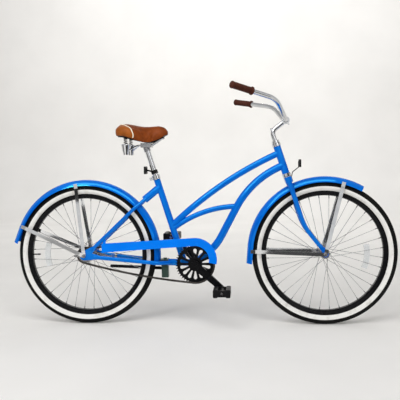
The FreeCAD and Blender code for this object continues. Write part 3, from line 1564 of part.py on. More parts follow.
def kickstand():
    """A clamp behind the bottom bracket, and a leg that folds back along the left side."""
    centre = CRANK + YOKE_BACK * n.stand_behind
    stay_top = n.chain_stay_radius + n.stand_gap
    fender_front = REAR.x + FENDER_RADIUS
    plate_ahead = centre.x + n.stand_width / 2
    top = block(
        V((plate_ahead + fender_front) / 2, 0, centre.z + stay_top + n.stand_plate / 2),
        V(plate_ahead - fender_front + n.overrun, n.stand_plate_span, n.stand_plate),
    ).cut(fender_ring(REAR)).cut(YOKE_ROD)
    under = centre - UP * (stay_top + n.stand_plate / 2)
    lower = block(under, V(n.stand_width, n.stand_plate_span, n.stand_plate))
    housing_mid = under - UP * (n.stand_plate / 2 + n.stand_block_height / 2)
    housing = block(housing_mid, V(n.stand_width, 2 * n.stand_block_half, n.stand_block_height))
    tilt = math.radians(n.stand_axis_tilt)
    axis = V(0, math.cos(tilt), math.sin(tilt))
    pin_radius = n.stand_pivot_radius / 2
    pin_length = n.stand_pivot_half + n.stand_leg_radius * 2
    pin = Part.makeCylinder(pin_radius, pin_length, housing_mid, axis)
    pivot = housing_mid + axis * n.stand_pivot_half
    bolt = Part.makeCylinder(n.stand_bolt_radius, 2 * stay_top + 2 * n.stand_plate, under, UP)
    bolt_hole = Part.makeCylinder(n.stand_bolt_radius + n.thread_gap, n.stand_plate_span, under, UP)
    clamp = lower.fuse([housing, pin]).removeSplitter().cut(bolt_hole).cut(YOKE_ROD)
    head_base = centre + UP * (stay_top + n.stand_plate)
    head = Part.makeCylinder(n.stand_bolt_head, n.stand_bolt_radius, head_base, UP)
    group("kickstand_bracket", [
        feature("kickstand_top_plate", largest(top.cut(bolt_hole))),
        feature("kickstand_housing", clamp),
        feature("kickstand_bolt", bolt.fuse(head).removeSplitter()),
    ])
    boss_length = 2 * n.stand_leg_radius
    boss = Part.makeCylinder(n.stand_pivot_radius, boss_length, pivot, axis)
    root = pivot + axis * (boss_length / 2)
    out = math.radians(n.stand_leg_out)
    rise = math.radians(n.stand_leg_up)
    along = V(-math.cos(out) * math.cos(rise), math.sin(out), math.sin(rise))
    leg = Part.makeCylinder(n.stand_leg_radius, n.stand_leg_length, root, along)
    foot = Part.makeSphere(n.stand_leg_radius, root + along * n.stand_leg_length)
    leg = leg.fuse([boss, foot]).removeSplitter()
    leg = leg.cut(Part.makeCylinder(pin_radius + n.pedal_gap, 2 * pin_length, housing_mid, axis))
    node("kickstand_leg", feature("kickstand_leg", largest(leg)))
    print("stand axis", axis, "pivot", pivot, "leg", along)


# Seat

def saddle_point(along, half, height):
    """A point of the saddle by shares of its length, half width and depth."""
    tail = SADDLE_BASE.x - n.saddle_tail_behind
    low = SADDLE_BASE.z + n.saddle_top - n.saddle_depth
    return V(tail + along * n.saddle_length, half * n.saddle_half_width, low + height * n.saddle_depth)


def saddle_section(station):
    """One closed section of the cushion: crowned top, drawn-in sides and arched underside."""
    along, half, top, edge, arch = station
    skirt = half * SKIRT_SHARE
    shoulder = half * SHOULDER_SHARE
    crown = top - (top - edge) * CROWN_SHARE
    middle = (crown + edge) / 2

    def point(side, height):
        return saddle_point(along, side, height)

    return Part.Wire([
        Part.Arc(point(-skirt, edge), point(0, arch), point(skirt, edge)).toShape(),
        Part.Arc(point(skirt, edge), point(half, middle), point(shoulder, crown)).toShape(),
        Part.Arc(point(shoulder, crown), point(0, top), point(-shoulder, crown)).toShape(),
        Part.Arc(point(-shoulder, crown), point(-half, middle), point(-skirt, edge)).toShape(),
    ])


def arch_height(along, half):
    """Height share of the underside's arch at a place of the saddle."""
    for near, far in zip(SADDLE_SHARES, SADDLE_SHARES[1:]):
        if near[0] <= along <= far[0]:
            mix = (along - near[0]) / (far[0] - near[0])
            width, edge, arch = (near[i] + (far[i] - near[i]) * mix for i in (1, 3, 4))
            return arch - (arch - edge) * (half / (width * SKIRT_SHARE)) ** 2
    raise ValueError("a place beyond the saddle")


def pan_section(station):
    """One section of the pressed pan that the cushion sits on."""
    along, half, _, _, arch = station
    edge_half = half * PAN_SHARE * SKIRT_SHARE
    edge = arch_height(along, edge_half)
    high = -n.saddle_pan_gap
    low = high - n.saddle_pan_sheet

    def point(side, height, lift):
        return saddle_point(along, side, height) + UP * lift

    return Part.Wire([
        Part.Arc(point(-edge_half, edge, high), point(0, arch, high), point(edge_half, edge, high)).toShape(),
        Part.LineSegment(point(edge_half, edge, high), point(edge_half, edge, low)).toShape(),
        Part.Arc(point(edge_half, edge, low), point(0, arch, low), point(-edge_half, edge, low)).toShape(),
        Part.LineSegment(point(-edge_half, edge, low), point(-edge_half, edge, high)).toShape(),
    ])


def spring_path(foot, height):
    """A coil's centre line, as an arc for each quarter turn."""
    quarters = int(n.spring_turns) * 4

    def point(quarter):
        turn = math.radians(90 * quarter)
        around = V(math.cos(turn), math.sin(turn), 0) * n.spring_radius
        return foot + around + UP * (height * quarter / quarters)

    edges = [Part.Arc(point(q), point(q + 0.5), point(q + 1)).toShape() for q in range(quarters)]
    pitch = height / n.spring_turns
    print("spring self gap", round(pitch - 2 * n.spring_wire_radius, 2))
    return Part.Wire(edges)


def seat():
    """Seat clamp, post, saddle clamp, rails, sprung saddle and the rear reflector."""
    collar_inner = d.seat_tube_radius + d.thread_gap
    collar_outer = collar_inner + d.collar_wall
    collar = Part.makeCylinder(float(collar_outer), n.collar_height, SEAT_HIGH - SEAT_UP * n.collar_height, SEAT_UP)
    back = V(-SEAT_UP.z, 0, SEAT_UP.x)
    middle = SEAT_HIGH - SEAT_UP * (n.collar_height / 2)
    ear_place = middle + back * float(collar_outer)
    ear_size = V(n.collar_ear * EAR_SHARES[0], n.collar_ear * EAR_SHARES[1], n.collar_height * EAR_SHARES[2])
    ears = rounded_block(V(0, 0, 0), ear_size, n.collar_ear / 4, SIDE)
    ears.Placement = FreeCAD.Placement(ear_place, FreeCAD.Rotation(UP, SEAT_UP))
    bolt_half = n.collar_ear * EAR_BOLT_SHARE
    bolt = across(ear_place + back * (n.collar_ear / 2), n.screw_radius, -bolt_half, 2 * bolt_half)
    slit = block(ear_place, V(3 * n.collar_ear, n.clamp_slit, 3 * n.collar_height))
    collar = collar.fuse(ears).cut(slit)
    hole_base = SEAT_HIGH - SEAT_UP * (2 * n.collar_height)
    tube_hole = Part.makeCylinder(float(collar_inner), 3 * n.collar_height, hole_base, SEAT_UP)
    collar = collar.cut(tube_hole).cut(bolt)
    group("seat_clamp", [feature("seat_clamp_collar", largest(collar)), feature("seat_clamp_bolt", bolt)])

    post_length = d.post_insert + d.post_above
    node("seatpost", cylinder("seatpost", d.post_radius, post_length, SEAT_HIGH - SEAT_UP * n.post_insert, SEAT_UP))

    rail_path = bent(
        [
            SADDLE_BASE + V(n.rail_front_reach, 0, n.rail_up) * RAIL_NOSE_SHARE + SIDE * n.rail_nose_half,
            SADDLE_BASE + V(n.rail_front_reach, n.rail_half, n.rail_up),
            SADDLE_BASE + V(-n.rail_front_reach * RAIL_TAIL_SHARE, n.rail_half, n.rail_up),
            SADDLE_BASE + V(-n.spring_behind, n.spring_half, n.cup_bottom_up / 2),
        ],
        [n.rail_bend, n.rail_bend],
    )
    rail_rod = rod(rail_path, n.rail_radius)
    cup_foot = SADDLE_BASE + V(-n.spring_behind, n.spring_half, n.cup_bottom_up)
    cone_height = n.cup_top_up - n.cup_bottom_up - n.spring_cup_collar
    cone = Part.makeCone(n.spring_cup_foot_radius, n.spring_cup_top_radius, cone_height, cup_foot, UP)
    pan = Part.makeLoft([pan_section(station) for station in SADDLE_SHARES[1:-1]], True, False)
    pan_room = pan.translated(UP * -n.rail_pan_gap)
    flexed_room = pan_room.copy()
    flexed_room.rotate(SADDLE_BASE + V(n.flex_ahead, 0, n.flex_up), SIDE * -1, n.flex_angle)
    both_sides("saddle_rails", largest(rail_rod.cut(cone).cut(pan_room).cut(flexed_room)))

    body = block(
        SADDLE_BASE + UP * n.rail_up,
        V(n.saddle_clamp_length, 2 * n.saddle_clamp_half, n.saddle_clamp_height * CLAMP_SHARE),
    )
    socket_base = SADDLE_BASE - SEAT_UP * (n.saddle_clamp_height * SOCKET_SHARE)
    socket = Part.makeCylinder(n.post_radius + n.rear_collar_wall, n.saddle_clamp_height, socket_base, SEAT_UP)
    post_base = SADDLE_BASE - SEAT_UP * post_length.value
    hole = Part.makeCylinder(n.post_radius + n.thread_gap, post_length.value, post_base, SEAT_UP)
    groove = rod(rail_path, n.rail_radius + n.rail_gap)
    clamp = body.fuse(socket).removeSplitter().cut(hole).cut(groove).cut(mirrored(groove))
    node("saddle_clamp", feature("saddle_clamp", largest(clamp)))

    cups = []
    springs = []
    coil_room = Part.makeCylinder(n.spring_radius + n.spring_wire_radius, n.saddle_depth * 2, cup_foot, UP)
    pan_low = pan.common(coil_room).optimalBoundingBox().ZMin
    for word, side in (("left", 1), ("right", -1)):
        foot = V(cup_foot.x, side * cup_foot.y, cup_foot.z)
        cups.append(turned(f"spring_cup_{word}", [
            (0, 0),
            (d.spring_cup_foot_radius, 0),
            (d.spring_cup_top_radius, d.cup_top_up - d.cup_bottom_up - d.spring_cup_collar),
            (d.spring_cup_top_radius + d.spring_cup_wall, d.cup_top_up - d.cup_bottom_up - d.spring_cup_collar),
            (d.spring_cup_top_radius + d.spring_cup_wall, d.cup_top_up - d.cup_bottom_up),
            (d.spring_cup_top_radius - d.spring_cup_wall, d.cup_top_up - d.cup_bottom_up),
            (d.spring_cup_foot_radius - d.spring_cup_wall, d.spring_cup_wall),
            (0, d.spring_cup_wall),
        ], foot, UP))
        wire = n.spring_wire_radius
        seat_low = foot + UP * (n.spring_cup_wall + wire + n.spring_end_gap)
        height = pan_low - seat_low.z - wire - 2 * n.spring_end_gap
        springs.append(feature(f"spring_{word}", rod(spring_path(seat_low, height), wire)))
    group("spring_cups", cups)
    group("saddle_springs", springs)

    node("saddle_cushion", feature(
        "saddle_cushion", Part.makeLoft([saddle_section(station) for station in SADDLE_SHARES], True, False),
    ))
    node("saddle_pan", feature("saddle_pan", pan))


# Reflectors on brackets

def strip(points, sheet, width):
    """A bent flat strip across Y through points in the wheel's plane."""
    sides = []
    for index, point in enumerate(points):
        before = points[max(index - 1, 0)]
        after = points[min(index + 1, len(points) - 1)]
        run = (after - before).normalize()
        sides.append((point, V(-run.z, 0, run.x) * (sheet / 2)))
    corners = [p + off for p, off in sides] + [p - off for p, off in reversed(sides)]
    corners = [p - SIDE * (width / 2) for p in corners]
    return Part.Face(Part.makePolygon(corners + corners[:1])).extrude(SIDE * width)


def reflectors():
    """A front reflector on the fork crown, and a rear one on the seat post."""
    lamp_size = V(n.lamp_depth, n.lamp_width, n.lamp_height)
    crown_face = steer(CROWN_TOP - n.crown_height / 2, n.crown_depth / 2 + n.bracket_sheet / 2)
    lamp = steer(CROWN_TOP, 0) + V(n.front_lamp_reach, 0, n.front_lamp_up)
    knee = crown_face + STEER_UP * n.crown_height + STEER_AHEAD * n.bracket_width
    seat_point = lamp - V(n.lamp_depth / 2 + n.bracket_sheet / 2, 0, 0)
    bracket = strip([
        crown_face - STEER_UP * (n.crown_height / 2),
        crown_face + STEER_UP * (n.crown_height / 4),
        knee,
        seat_point - UP * (n.lamp_height / 2),
        seat_point + UP * (n.lamp_height / 4),
    ], n.bracket_sheet, n.bracket_width)
    bracket = bracket.cut(NODES["fork_crown"].Shape)
    group("front_reflector", [
        feature("front_reflector_bracket", largest(bracket)),
        feature("front_reflector_lens", rounded_block(lamp, lamp_size, n.lamp_corner, V(1, 0, 0)).cut(bracket)),
    ])

    base = SEAT_HIGH + SEAT_UP * n.rear_collar_up
    collar = Part.makeCylinder(n.post_radius + n.rear_collar_wall, n.rear_collar_height, base, SEAT_UP)
    hole = Part.makeCylinder(
        n.post_radius + n.thread_gap, 2 * n.rear_collar_height, base - SEAT_UP * n.rear_collar_height / 2, SEAT_UP,
    )
    middle = base + SEAT_UP * (n.rear_collar_height / 2)
    rear_lamp = middle + V(-n.rear_lamp_reach, 0, n.rear_collar_height / 2)
    arm_end = rear_lamp + V(n.lamp_depth / 2 + n.bracket_sheet, 0, 0)
    arm = strip([middle, arm_end], n.bracket_sheet * 2, n.bracket_width)
    mount = block(arm_end - V(n.bracket_sheet / 2, 0, 0), V(n.bracket_sheet, n.bracket_width, n.lamp_height / 2))
    carrier = collar.fuse([arm, mount]).removeSplitter().cut(hole)
    lens = rounded_block(rear_lamp, lamp_size, n.lamp_corner, V(1, 0, 0))
    group("rear_reflector", [
        feature("rear_reflector_bracket", largest(carrier)),
        feature("rear_reflector_lens", lens.cut(carrier)),
    ])


# Brake arm

def brake_arm():
    """The coaster brake's arm, strapped to the left chain stay."""
    low = n.rear_old / 2 - n.brake_arm_inset
    end = REAR + V(n.brake_arm_length, 0, -n.brake_arm_drop)
    arm = hull_plate(REAR, n.brake_arm_root, end, n.brake_arm_tip, low, n.brake_arm_sheet)
    hole = across(REAR, n.rear_axle_radius + n.thread_gap, low - n.overrun, n.brake_arm_sheet + 2 * n.overrun)
    stay_start = YOKE_END + YOKE_BACK * n.chain_stay_shoulder_back + SIDE * n.chain_stay_shoulder_half
    stay_end = REAR + V(n.chain_stay_end_ahead, n.stay_end_half, -n.chain_stay_end_drop)
    run = stay_end - stay_start
    share = (end.x - stay_start.x) / run.x
    grip = stay_start + run * share
    run_length = run.Length
    along = run.normalize()
    half = n.bracket_width / 2
    clip = Part.makeCylinder(n.chain_stay_radius + n.bracket_sheet, 2 * half, grip - along * half, along)
    tab_low = low + n.brake_arm_sheet
    tab = hull_plate(grip, half, end, half, tab_low, n.bracket_sheet)
    room = Part.makeCylinder(n.chain_stay_radius + n.thread_gap, run_length, stay_start, along)
    strap = clip.fuse(tab).removeSplitter().cut(room)
    group("brake_arm", [
        feature("brake_arm_lever", largest(arm.cut(hole).cut(clip).cut(room))),
        feature("brake_arm_strap", largest(strap)),
    ])


def write_parts():
    """Check every object and sub-part, then write one file for each sub-part."""
    DOC.recompute()
    for item in DOC.Objects:
        if "Invalid" in item.State or "Error" in item.State:
            raise RuntimeError(f"{item.Label} did not recompute")
    for name, piece in NODES.items():
        if piece.Shape.isNull() or not piece.Shape.isValid():
            raise RuntimeError(f"{name} has no valid shape")
    os.makedirs("parts", exist_ok=True)
    for name, piece in NODES.items():
        piece.Shape.exportStep(f"parts/{name}.step")


frame_tubes()
rear_stays()
headset()
fork()
cockpit()
for place, where in (("front", FRONT), ("rear", REAR)):
    tyre_and_valve(place + "_tyre", where)
    rim(place + "_rim", where)
    flange = getattr(n, place + "_flange_radius")
    spokes(place + "_spokes", where, flange, getattr(n, place + "_flange_half"))
    spoke_reflector(
        place + "_spoke_reflector", where, getattr(n, place + "_reflector_turn"),
        getattr(d, place + "_flange_radius"), getattr(d, place + "_flange_half"),
    )
    hub(
        place + "_hub", where,
        getattr(d, place + "_flange_radius"), getattr(d, place + "_flange_half"),
        getattr(d, place + "_barrel_radius"), getattr(d, place + "_hub_half"),
        getattr(d, place + "_cone_radius"),
    )
axles()
fenders()
drive()
chain_guard()
kickstand()
seat()
reflectors()
brake_arm()
write_parts()
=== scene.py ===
"""Looks of a beach cruiser bicycle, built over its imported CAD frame."""

import logging
import math
from collections.abc import Callable, Iterable, Sequence
from dataclasses import dataclass, field
from enum import Enum

import bmesh
import bpy
import numpy as np
from mathutils import Matrix, Vector


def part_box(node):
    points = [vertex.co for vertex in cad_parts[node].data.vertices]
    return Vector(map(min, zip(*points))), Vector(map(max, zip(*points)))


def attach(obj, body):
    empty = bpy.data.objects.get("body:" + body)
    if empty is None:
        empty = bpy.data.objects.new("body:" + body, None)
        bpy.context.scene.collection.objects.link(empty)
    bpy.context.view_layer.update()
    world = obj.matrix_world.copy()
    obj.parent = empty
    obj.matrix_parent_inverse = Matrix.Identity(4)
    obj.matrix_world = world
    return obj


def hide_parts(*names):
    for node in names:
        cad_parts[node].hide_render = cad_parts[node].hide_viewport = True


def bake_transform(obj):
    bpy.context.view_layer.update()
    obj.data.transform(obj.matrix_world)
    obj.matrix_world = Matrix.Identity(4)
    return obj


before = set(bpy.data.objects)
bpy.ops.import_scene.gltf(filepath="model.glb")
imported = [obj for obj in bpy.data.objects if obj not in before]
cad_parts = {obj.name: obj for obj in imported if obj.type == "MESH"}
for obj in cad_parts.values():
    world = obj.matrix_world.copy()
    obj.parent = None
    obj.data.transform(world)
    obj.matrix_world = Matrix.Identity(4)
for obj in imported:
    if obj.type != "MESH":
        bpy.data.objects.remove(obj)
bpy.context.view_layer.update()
LOG = logging.getLogger("cruiser")

Colour = tuple[float, float, float, float]
Triple = tuple[float, float, float]
Socket = bpy.types.NodeSocket


class Slot(Enum):
    """The record's material slots."""

    BLUE = "blue_paint"
    CHROME = "chrome"
    STEEL = "bright_steel"
    BLACK = "black_paint"
    PLASTIC = "black_plastic"
    TYRE = "whitewall_tyre"
    LENS = "clear_lens"
    GRIP = "brown_grip"
    VINYL = "brown_vinyl"


# Materials


class NodeSheet:
    """A material's nodes, added one by one."""

    def __init__(self, name: str) -> None:
        """Starts an empty material.

        Args:
            name: The material's name.
        """
        self.material = bpy.data.materials.new(name)
        self.material.use_nodes = True
        self.tree = self.material.node_tree
        self.tree.nodes.clear()

    def add(self, kind: str, inputs: dict | None = None, **settings: object) -> bpy.types.Node:
        """Adds one node.

        Args:
            kind: The node's type.
            inputs: Values or sockets for its inputs, by name or number.
            settings: The node's own properties.

        Returns:
            The node.
        """
        made = self.tree.nodes.new(kind)
        for name, value in settings.items():
            setattr(made, name, value)
        for name, value in (inputs or {}).items():
            if isinstance(value, Socket):
                self.tree.links.new(value, made.inputs[name])
            else:
                made.inputs[name].default_value = value
        return made

    def place(self, scale: Triple = (1, 1, 1)) -> Socket:
        """Object coordinates, scaled.

        Args:
            scale: How much each axis is stretched.

        Returns:
            The vector socket.
        """
        coords = self.add("ShaderNodeTexCoord")
        moved = self.add("ShaderNodeMapping", {"Vector": coords.outputs["Object"], "Scale": scale})
        return moved.outputs["Vector"]

    def noise(self, vector: Socket, scale: float, detail: float = 2.0) -> Socket:
        """A noise value.

        Args:
            vector: Where it is read.
            scale: How fine it is.
            detail: How many octaves it has.

        Returns:
            The value socket.
        """
        made = self.add("ShaderNodeTexNoise", {"Vector": vector, "Scale": scale, "Detail": detail})
        return made.outputs["Fac"]

    def cells(self, vector: Socket, scale: float, feature: str = "DISTANCE_TO_EDGE") -> Socket:
        """A distance in a cell pattern.

        Args:
            vector: Where it is read.
            scale: How fine it is.
            feature: Which distance it gives.

        Returns:
            The value socket.
        """
        made = self.add("ShaderNodeTexVoronoi", {"Vector": vector, "Scale": scale}, feature=feature)
        return made.outputs["Distance"]

    def span(self, value: Socket, low: Sequence[float], high: Sequence[float]) -> Socket:
        """A value mapped from one range to another, and clamped.

        Args:
            value: The value.
            low: Where its range starts, and what that becomes.
            high: Where its range ends, and what that becomes.

        Returns:
            The value socket.
        """
        made = self.add("ShaderNodeMapRange", {
            "Value": value, "From Min": low[0], "From Max": high[0], "To Min": low[1], "To Max": high[1],
        })
        return made.outputs["Result"]

    def sums(self, operation: str, first: object, second: object = 0.0) -> Socket:
        """One step of arithmetic.

        Args:
            operation: The kind of step.
            first: The first value or socket.
            second: The second value or socket.

        Returns:
            The value socket.
        """
        made = self.add("ShaderNodeMath", {0: first, 1: second}, operation=operation)
        return made.outputs["Value"]

    def mix(self, share: Socket, first: object, second: object) -> Socket:
        """Two colours mixed.

        Args:
            share: How much of the second there is.
            first: The first colour or socket.
            second: The second colour or socket.

        Returns:
            The colour socket.
        """
        made = self.add("ShaderNodeMixRGB", {"Fac": share, "Color1": first, "Color2": second})
        return made.outputs["Color"]

    def bump(self, height: Socket, strength: float, depth: float) -> Socket:
        """A bumped normal.

        Args:
            height: The relief.
            strength: How strongly it shows.
            depth: The relief's depth in metres.

        Returns:
            The normal socket.
        """
        made = self.add("ShaderNodeBump", {"Height": height, "Strength": strength, "Distance": depth})
        return made.outputs["Normal"]

    def surface(self, inputs: dict) -> bpy.types.Material:
        """Closes the material with its shader.

        Args:
            inputs: The shader's values and sockets.

        Returns:
            The finished material.
        """
        shader = self.add("ShaderNodeBsdfPrincipled", inputs)
        self.add("ShaderNodeOutputMaterial", {"Surface": shader.outputs["BSDF"]})
        return self.material


@dataclass(frozen=True)
class Enamel:
    """Sprayed gloss paint under a clear coat."""

    name: str
    shade: Colour
    deep: Colour
    roughness: float = 0.3
    coat: float = 0.1
    glint: Colour = (1, 1, 1, 1)
    shine: float = 0.3
    ior: float = 1.5
    peel_scale: float = 260.0
    cloud_scale: float = 7.0
    wear_scale: float = 40.0
    peel_depth: float = 0.0004

    def material(self) -> bpy.types.Material:
        """The paint, a little uneven in shade, with a fine orange peel."""
        sheet = NodeSheet(self.name)
        place = sheet.place()
        peel = sheet.noise(place, self.peel_scale, 1.0)
        cloud = sheet.span(sheet.noise(place, self.cloud_scale, 3.0), (0.35, 0.0), (0.65, 1.0))
        wear = sheet.noise(place, self.wear_scale, 4.0)
        worn = sheet.span(wear, (0.3, self.roughness * 0.8), (0.7, self.roughness * 1.25))
        return sheet.surface({
            "Base Color": sheet.mix(cloud, self.deep, self.shade),
            "Roughness": worn,
            "IOR": self.ior,
            "Specular IOR Level": self.shine,
            "Specular Tint": self.glint,
            "Coat Weight": self.coat,
            "Coat Roughness": 0.05,
            "Normal": sheet.bump(peel, 0.08, self.peel_depth),
        })


@dataclass(frozen=True)
class Bright:
    """Plated or bare metal."""

    name: str
    shade: Colour
    dull: Colour
    roughness: float = 0.1
    grain: float = 900.0
    stretch: Triple = (0.15, 1.0, 1.0)
    cloud_scale: float = 22.0
    line_depth: float = 0.0001

    def material(self) -> bpy.types.Material:
        """The metal, with faint clouds and fine polishing lines."""
        sheet = NodeSheet(self.name)
        place = sheet.place()
        lines = sheet.noise(sheet.place(self.stretch), self.grain, 2.0)
        cloud = sheet.span(sheet.noise(place, self.cloud_scale, 4.0), (0.35, 0.0), (0.7, 1.0))
        rough = sheet.span(lines, (0.3, self.roughness * 0.85), (0.7, self.roughness * 1.15))
        return sheet.surface({
            "Base Color": sheet.mix(cloud, self.shade, self.dull),
            "Metallic": 1.0,
            "Roughness": rough,
            "Normal": sheet.bump(lines, 0.02, self.line_depth),
        })


@dataclass(frozen=True)
class Moulded:
    """Plastic or rubber with a moulded grain."""

    name: str
    shade: Colour
    dusty: Colour
    roughness: float = 0.5
    grain: float = 700.0
    relief: float = 0.15
    shine: float = 0.25
    dust_scale: float = 30.0
    wear_scale: float = 90.0
    depth: float = 0.0004

    def material(self) -> bpy.types.Material:
        """The moulding, with a pebbled grain and a little dust."""
        sheet = NodeSheet(self.name)
        place = sheet.place()
        pebbles = sheet.cells(place, self.grain, "F1")
        dust = sheet.span(sheet.noise(place, self.dust_scale, 5.0), (0.45, 0.0), (0.75, 1.0))
        wear = sheet.noise(place, self.wear_scale, 3.0)
        rough = sheet.span(wear, (0.3, self.roughness * 0.85), (0.7, self.roughness * 1.15))
        return sheet.surface({
            "Base Color": sheet.mix(dust, self.shade, self.dusty),
            "Roughness": rough,
            "Specular IOR Level": self.shine,
            "Normal": sheet.bump(pebbles, self.relief, self.depth),
        })


@dataclass(frozen=True)
class Whitewall:
    """The white band of a tyre, with soft scuffs."""

    name: str = "whitewall_band"
    shade: Colour = (0.82, 0.81, 0.78, 1)
    scuff: Colour = (0.52, 0.49, 0.44, 1)
    scuff_scale: float = 34.0
    fine_scale: float = 800.0
    fine_depth: float = 0.0003

    def material(self) -> bpy.types.Material:
        """Off-white rubber with soft scuffs and a fine texture."""
        sheet = NodeSheet(self.name)
        place = sheet.place()
        scuffs = sheet.span(sheet.noise(place, self.scuff_scale, 6.0), (0.52, 0.0), (0.8, 0.75))
        fine = sheet.noise(place, self.fine_scale, 2.0)
        return sheet.surface({
            "Base Color": sheet.mix(scuffs, self.shade, self.scuff),
            "Roughness": 0.55,
            "Normal": sheet.bump(fine, 0.12, self.fine_depth),
        })


@dataclass(frozen=True)
class Hide:
    """Grained vinyl in two shades that meet at the saddle's curved seam."""

    name: str
    front: Colour
    rear: Colour
    seam_tail: float
    seam_rise: float
    seam_power: float
    shadow: Colour = (0.25, 0.2, 0.16, 1)
    shadow_share: float = 0.55
    wear_scale: float = 26.0
    grain_scale: float = 420.0
    grain_depth: float = 0.0004

    def material(self) -> bpy.types.Material:
        """The vinyl: cell grain, worn patches and the lighter rear panel."""
        sheet = NodeSheet(self.name)
        place = sheet.place()
        split = sheet.add("ShaderNodeSeparateXYZ", {0: place})
        wide = sheet.sums("POWER", sheet.sums("ABSOLUTE", split.outputs["Y"]), self.seam_power)
        seam = sheet.sums("MULTIPLY_ADD", wide, self.seam_rise)
        seam.node.inputs[2].default_value = self.seam_tail
        behind = sheet.sums("LESS_THAN", split.outputs["X"], seam)
        worn = sheet.span(sheet.noise(place, self.wear_scale, 5.0), (0.35, 0.0), (0.7, 1.0))
        grain = sheet.cells(place, self.grain_scale)
        creases = sheet.span(grain, (0.0, 0.0), (0.25, 1.0))
        panel = sheet.mix(behind, self.front, self.rear)
        dark = sheet.add("ShaderNodeMixRGB", {
            "Fac": self.shadow_share, "Color1": panel, "Color2": self.shadow,
        }, blend_type="MULTIPLY")
        shade = sheet.mix(worn, panel, dark.outputs["Color"])
        return sheet.surface({
            "Base Color": shade,
            "Roughness": sheet.span(worn, (0.0, 0.42), (1.0, 0.56)),
            "Specular IOR Level": 0.15,
            "Normal": sheet.bump(creases, 0.25, self.grain_depth),
        })


@dataclass(frozen=True)
class Prism:
    """Clear plastic with corner cubes moulded behind it."""

    name: str
    shade: Colour
    deep: Colour
    cube_scale: float = 330.0
    cube_depth: float = 0.0006

    def material(self) -> bpy.types.Material:
        """The lens: a hexagon-like cell pattern under a smooth face."""
        sheet = NodeSheet(self.name)
        place = sheet.place()
        cubes = sheet.cells(place, self.cube_scale)
        facets = sheet.span(cubes, (0.0, 0.0), (0.3, 1.0))
        return sheet.surface({
            "Base Color": sheet.mix(facets, self.deep, self.shade),
            "Roughness": 0.25,
            "Coat Weight": 1.0,
            "Coat Roughness": 0.03,
            "Normal": sheet.bump(facets, 0.3, self.cube_depth),
        })


# Modelling

MERGE = 0.00002
SEED_SIZE = 0.001
WIRE_ROUNDNESS = 3
WIRE_ANGLE = 60.0


def deselect() -> None:
    """Leaves object mode with nothing selected."""
    if bpy.context.mode != "OBJECT":
        bpy.ops.object.mode_set(mode="OBJECT")
    bpy.ops.object.select_all(action="DESELECT")


def activate(piece: bpy.types.Object) -> None:
    """Selects one piece alone.

    Args:
        piece: The piece.
    """
    deselect()
    piece.select_set(True)
    bpy.context.view_layer.objects.active = piece


def pick_faces(piece: bpy.types.Object, test: Callable[[bmesh.types.BMFace], bool]) -> None:
    """Selects a piece's faces in edit mode.

    Args:
        piece: The piece in edit mode.
        test: Says of a face whether it is picked.
    """
    mesh = bmesh.from_edit_mesh(piece.data)
    bpy.ops.mesh.select_all(action="DESELECT")
    mesh.select_mode = {"FACE"}
    for face in mesh.faces:
        if test(face):
            face.select_set(True)
    mesh.select_flush_mode()
    bmesh.update_edit_mesh(piece.data)


def close_up(piece: bpy.types.Object, angle: float = 35.0) -> None:
    """Merges doubles, turns faces outwards and shades by angle.

    Args:
        piece: The piece.
        angle: Edges sharper than this stay sharp, in degrees.
    """
    activate(piece)
    bpy.ops.object.mode_set(mode="EDIT")
    bpy.ops.mesh.select_all(action="SELECT")
    bpy.ops.mesh.remove_doubles(threshold=MERGE)
    bpy.ops.mesh.normals_make_consistent(inside=False)
    bpy.ops.object.mode_set(mode="OBJECT")
    bpy.ops.object.shade_smooth_by_angle(angle=math.radians(angle))


def lathe(
    name: str, profile: Iterable[Sequence[float]], base: Vector, axis: Vector, steps: int,
) -> bpy.types.Object:
    """A turned piece.

    Args:
        name: The piece's name.
        profile: Radius and height pairs from one end to the other.
        base: Where the height is zero.
        axis: Which way the height goes.
        steps: How many steps a full turn has.

    Returns:
        The piece, with its place in its mesh.
    """
    points = [Vector((radius, 0, height)) for radius, height in profile]
    deselect()
    bpy.ops.mesh.primitive_plane_add(size=SEED_SIZE, location=points[0])
    piece = bpy.context.object
    piece.name = name
    bpy.ops.object.transform_apply(location=True, rotation=True, scale=True)
    bpy.ops.object.mode_set(mode="EDIT")
    bpy.ops.mesh.merge(type="CENTER")
    for near, far in zip(points, points[1:]):
        bpy.ops.mesh.extrude_vertices_move(TRANSFORM_OT_translate={"value": far - near})
    bpy.ops.mesh.select_all(action="SELECT")
    bpy.ops.mesh.spin(steps=steps, angle=math.tau, center=(0, 0, 0), axis=(0, 0, 1))
    bpy.ops.object.mode_set(mode="OBJECT")
    turn = Vector((0, 0, 1)).rotation_difference(axis).to_matrix().to_4x4()
    piece.matrix_world = Matrix.Translation(base) @ turn
    bpy.ops.object.transform_apply(location=True, rotation=True, scale=True)
    close_up(piece)
    return piece


def wire_along(name: str, points: Iterable[Vector], radius: float) -> bpy.types.Object:
    """A round wire or cord along a line of points.

    Args:
        name: The piece's name.
        points: The points of its middle line.
        radius: Its radius.

    Returns:
        The piece, with its place in its mesh.
    """
    places = list(points)
    deselect()
    curve = bpy.data.curves.new(name, "CURVE")
    curve.dimensions = "3D"
    curve.bevel_depth = radius
    curve.bevel_resolution = WIRE_ROUNDNESS
    curve.use_fill_caps = True
    line = curve.splines.new("POLY")
    line.points.add(len(places) - 1)
    for spot, place in zip(line.points, places):
        spot.co = (*place, 1.0)
    piece = bpy.data.objects.new(name, curve)
    bpy.context.scene.collection.objects.link(piece)
    activate(piece)
    bpy.ops.object.convert(target="MESH")
    piece = bpy.context.object
    close_up(piece, WIRE_ANGLE)
    return piece


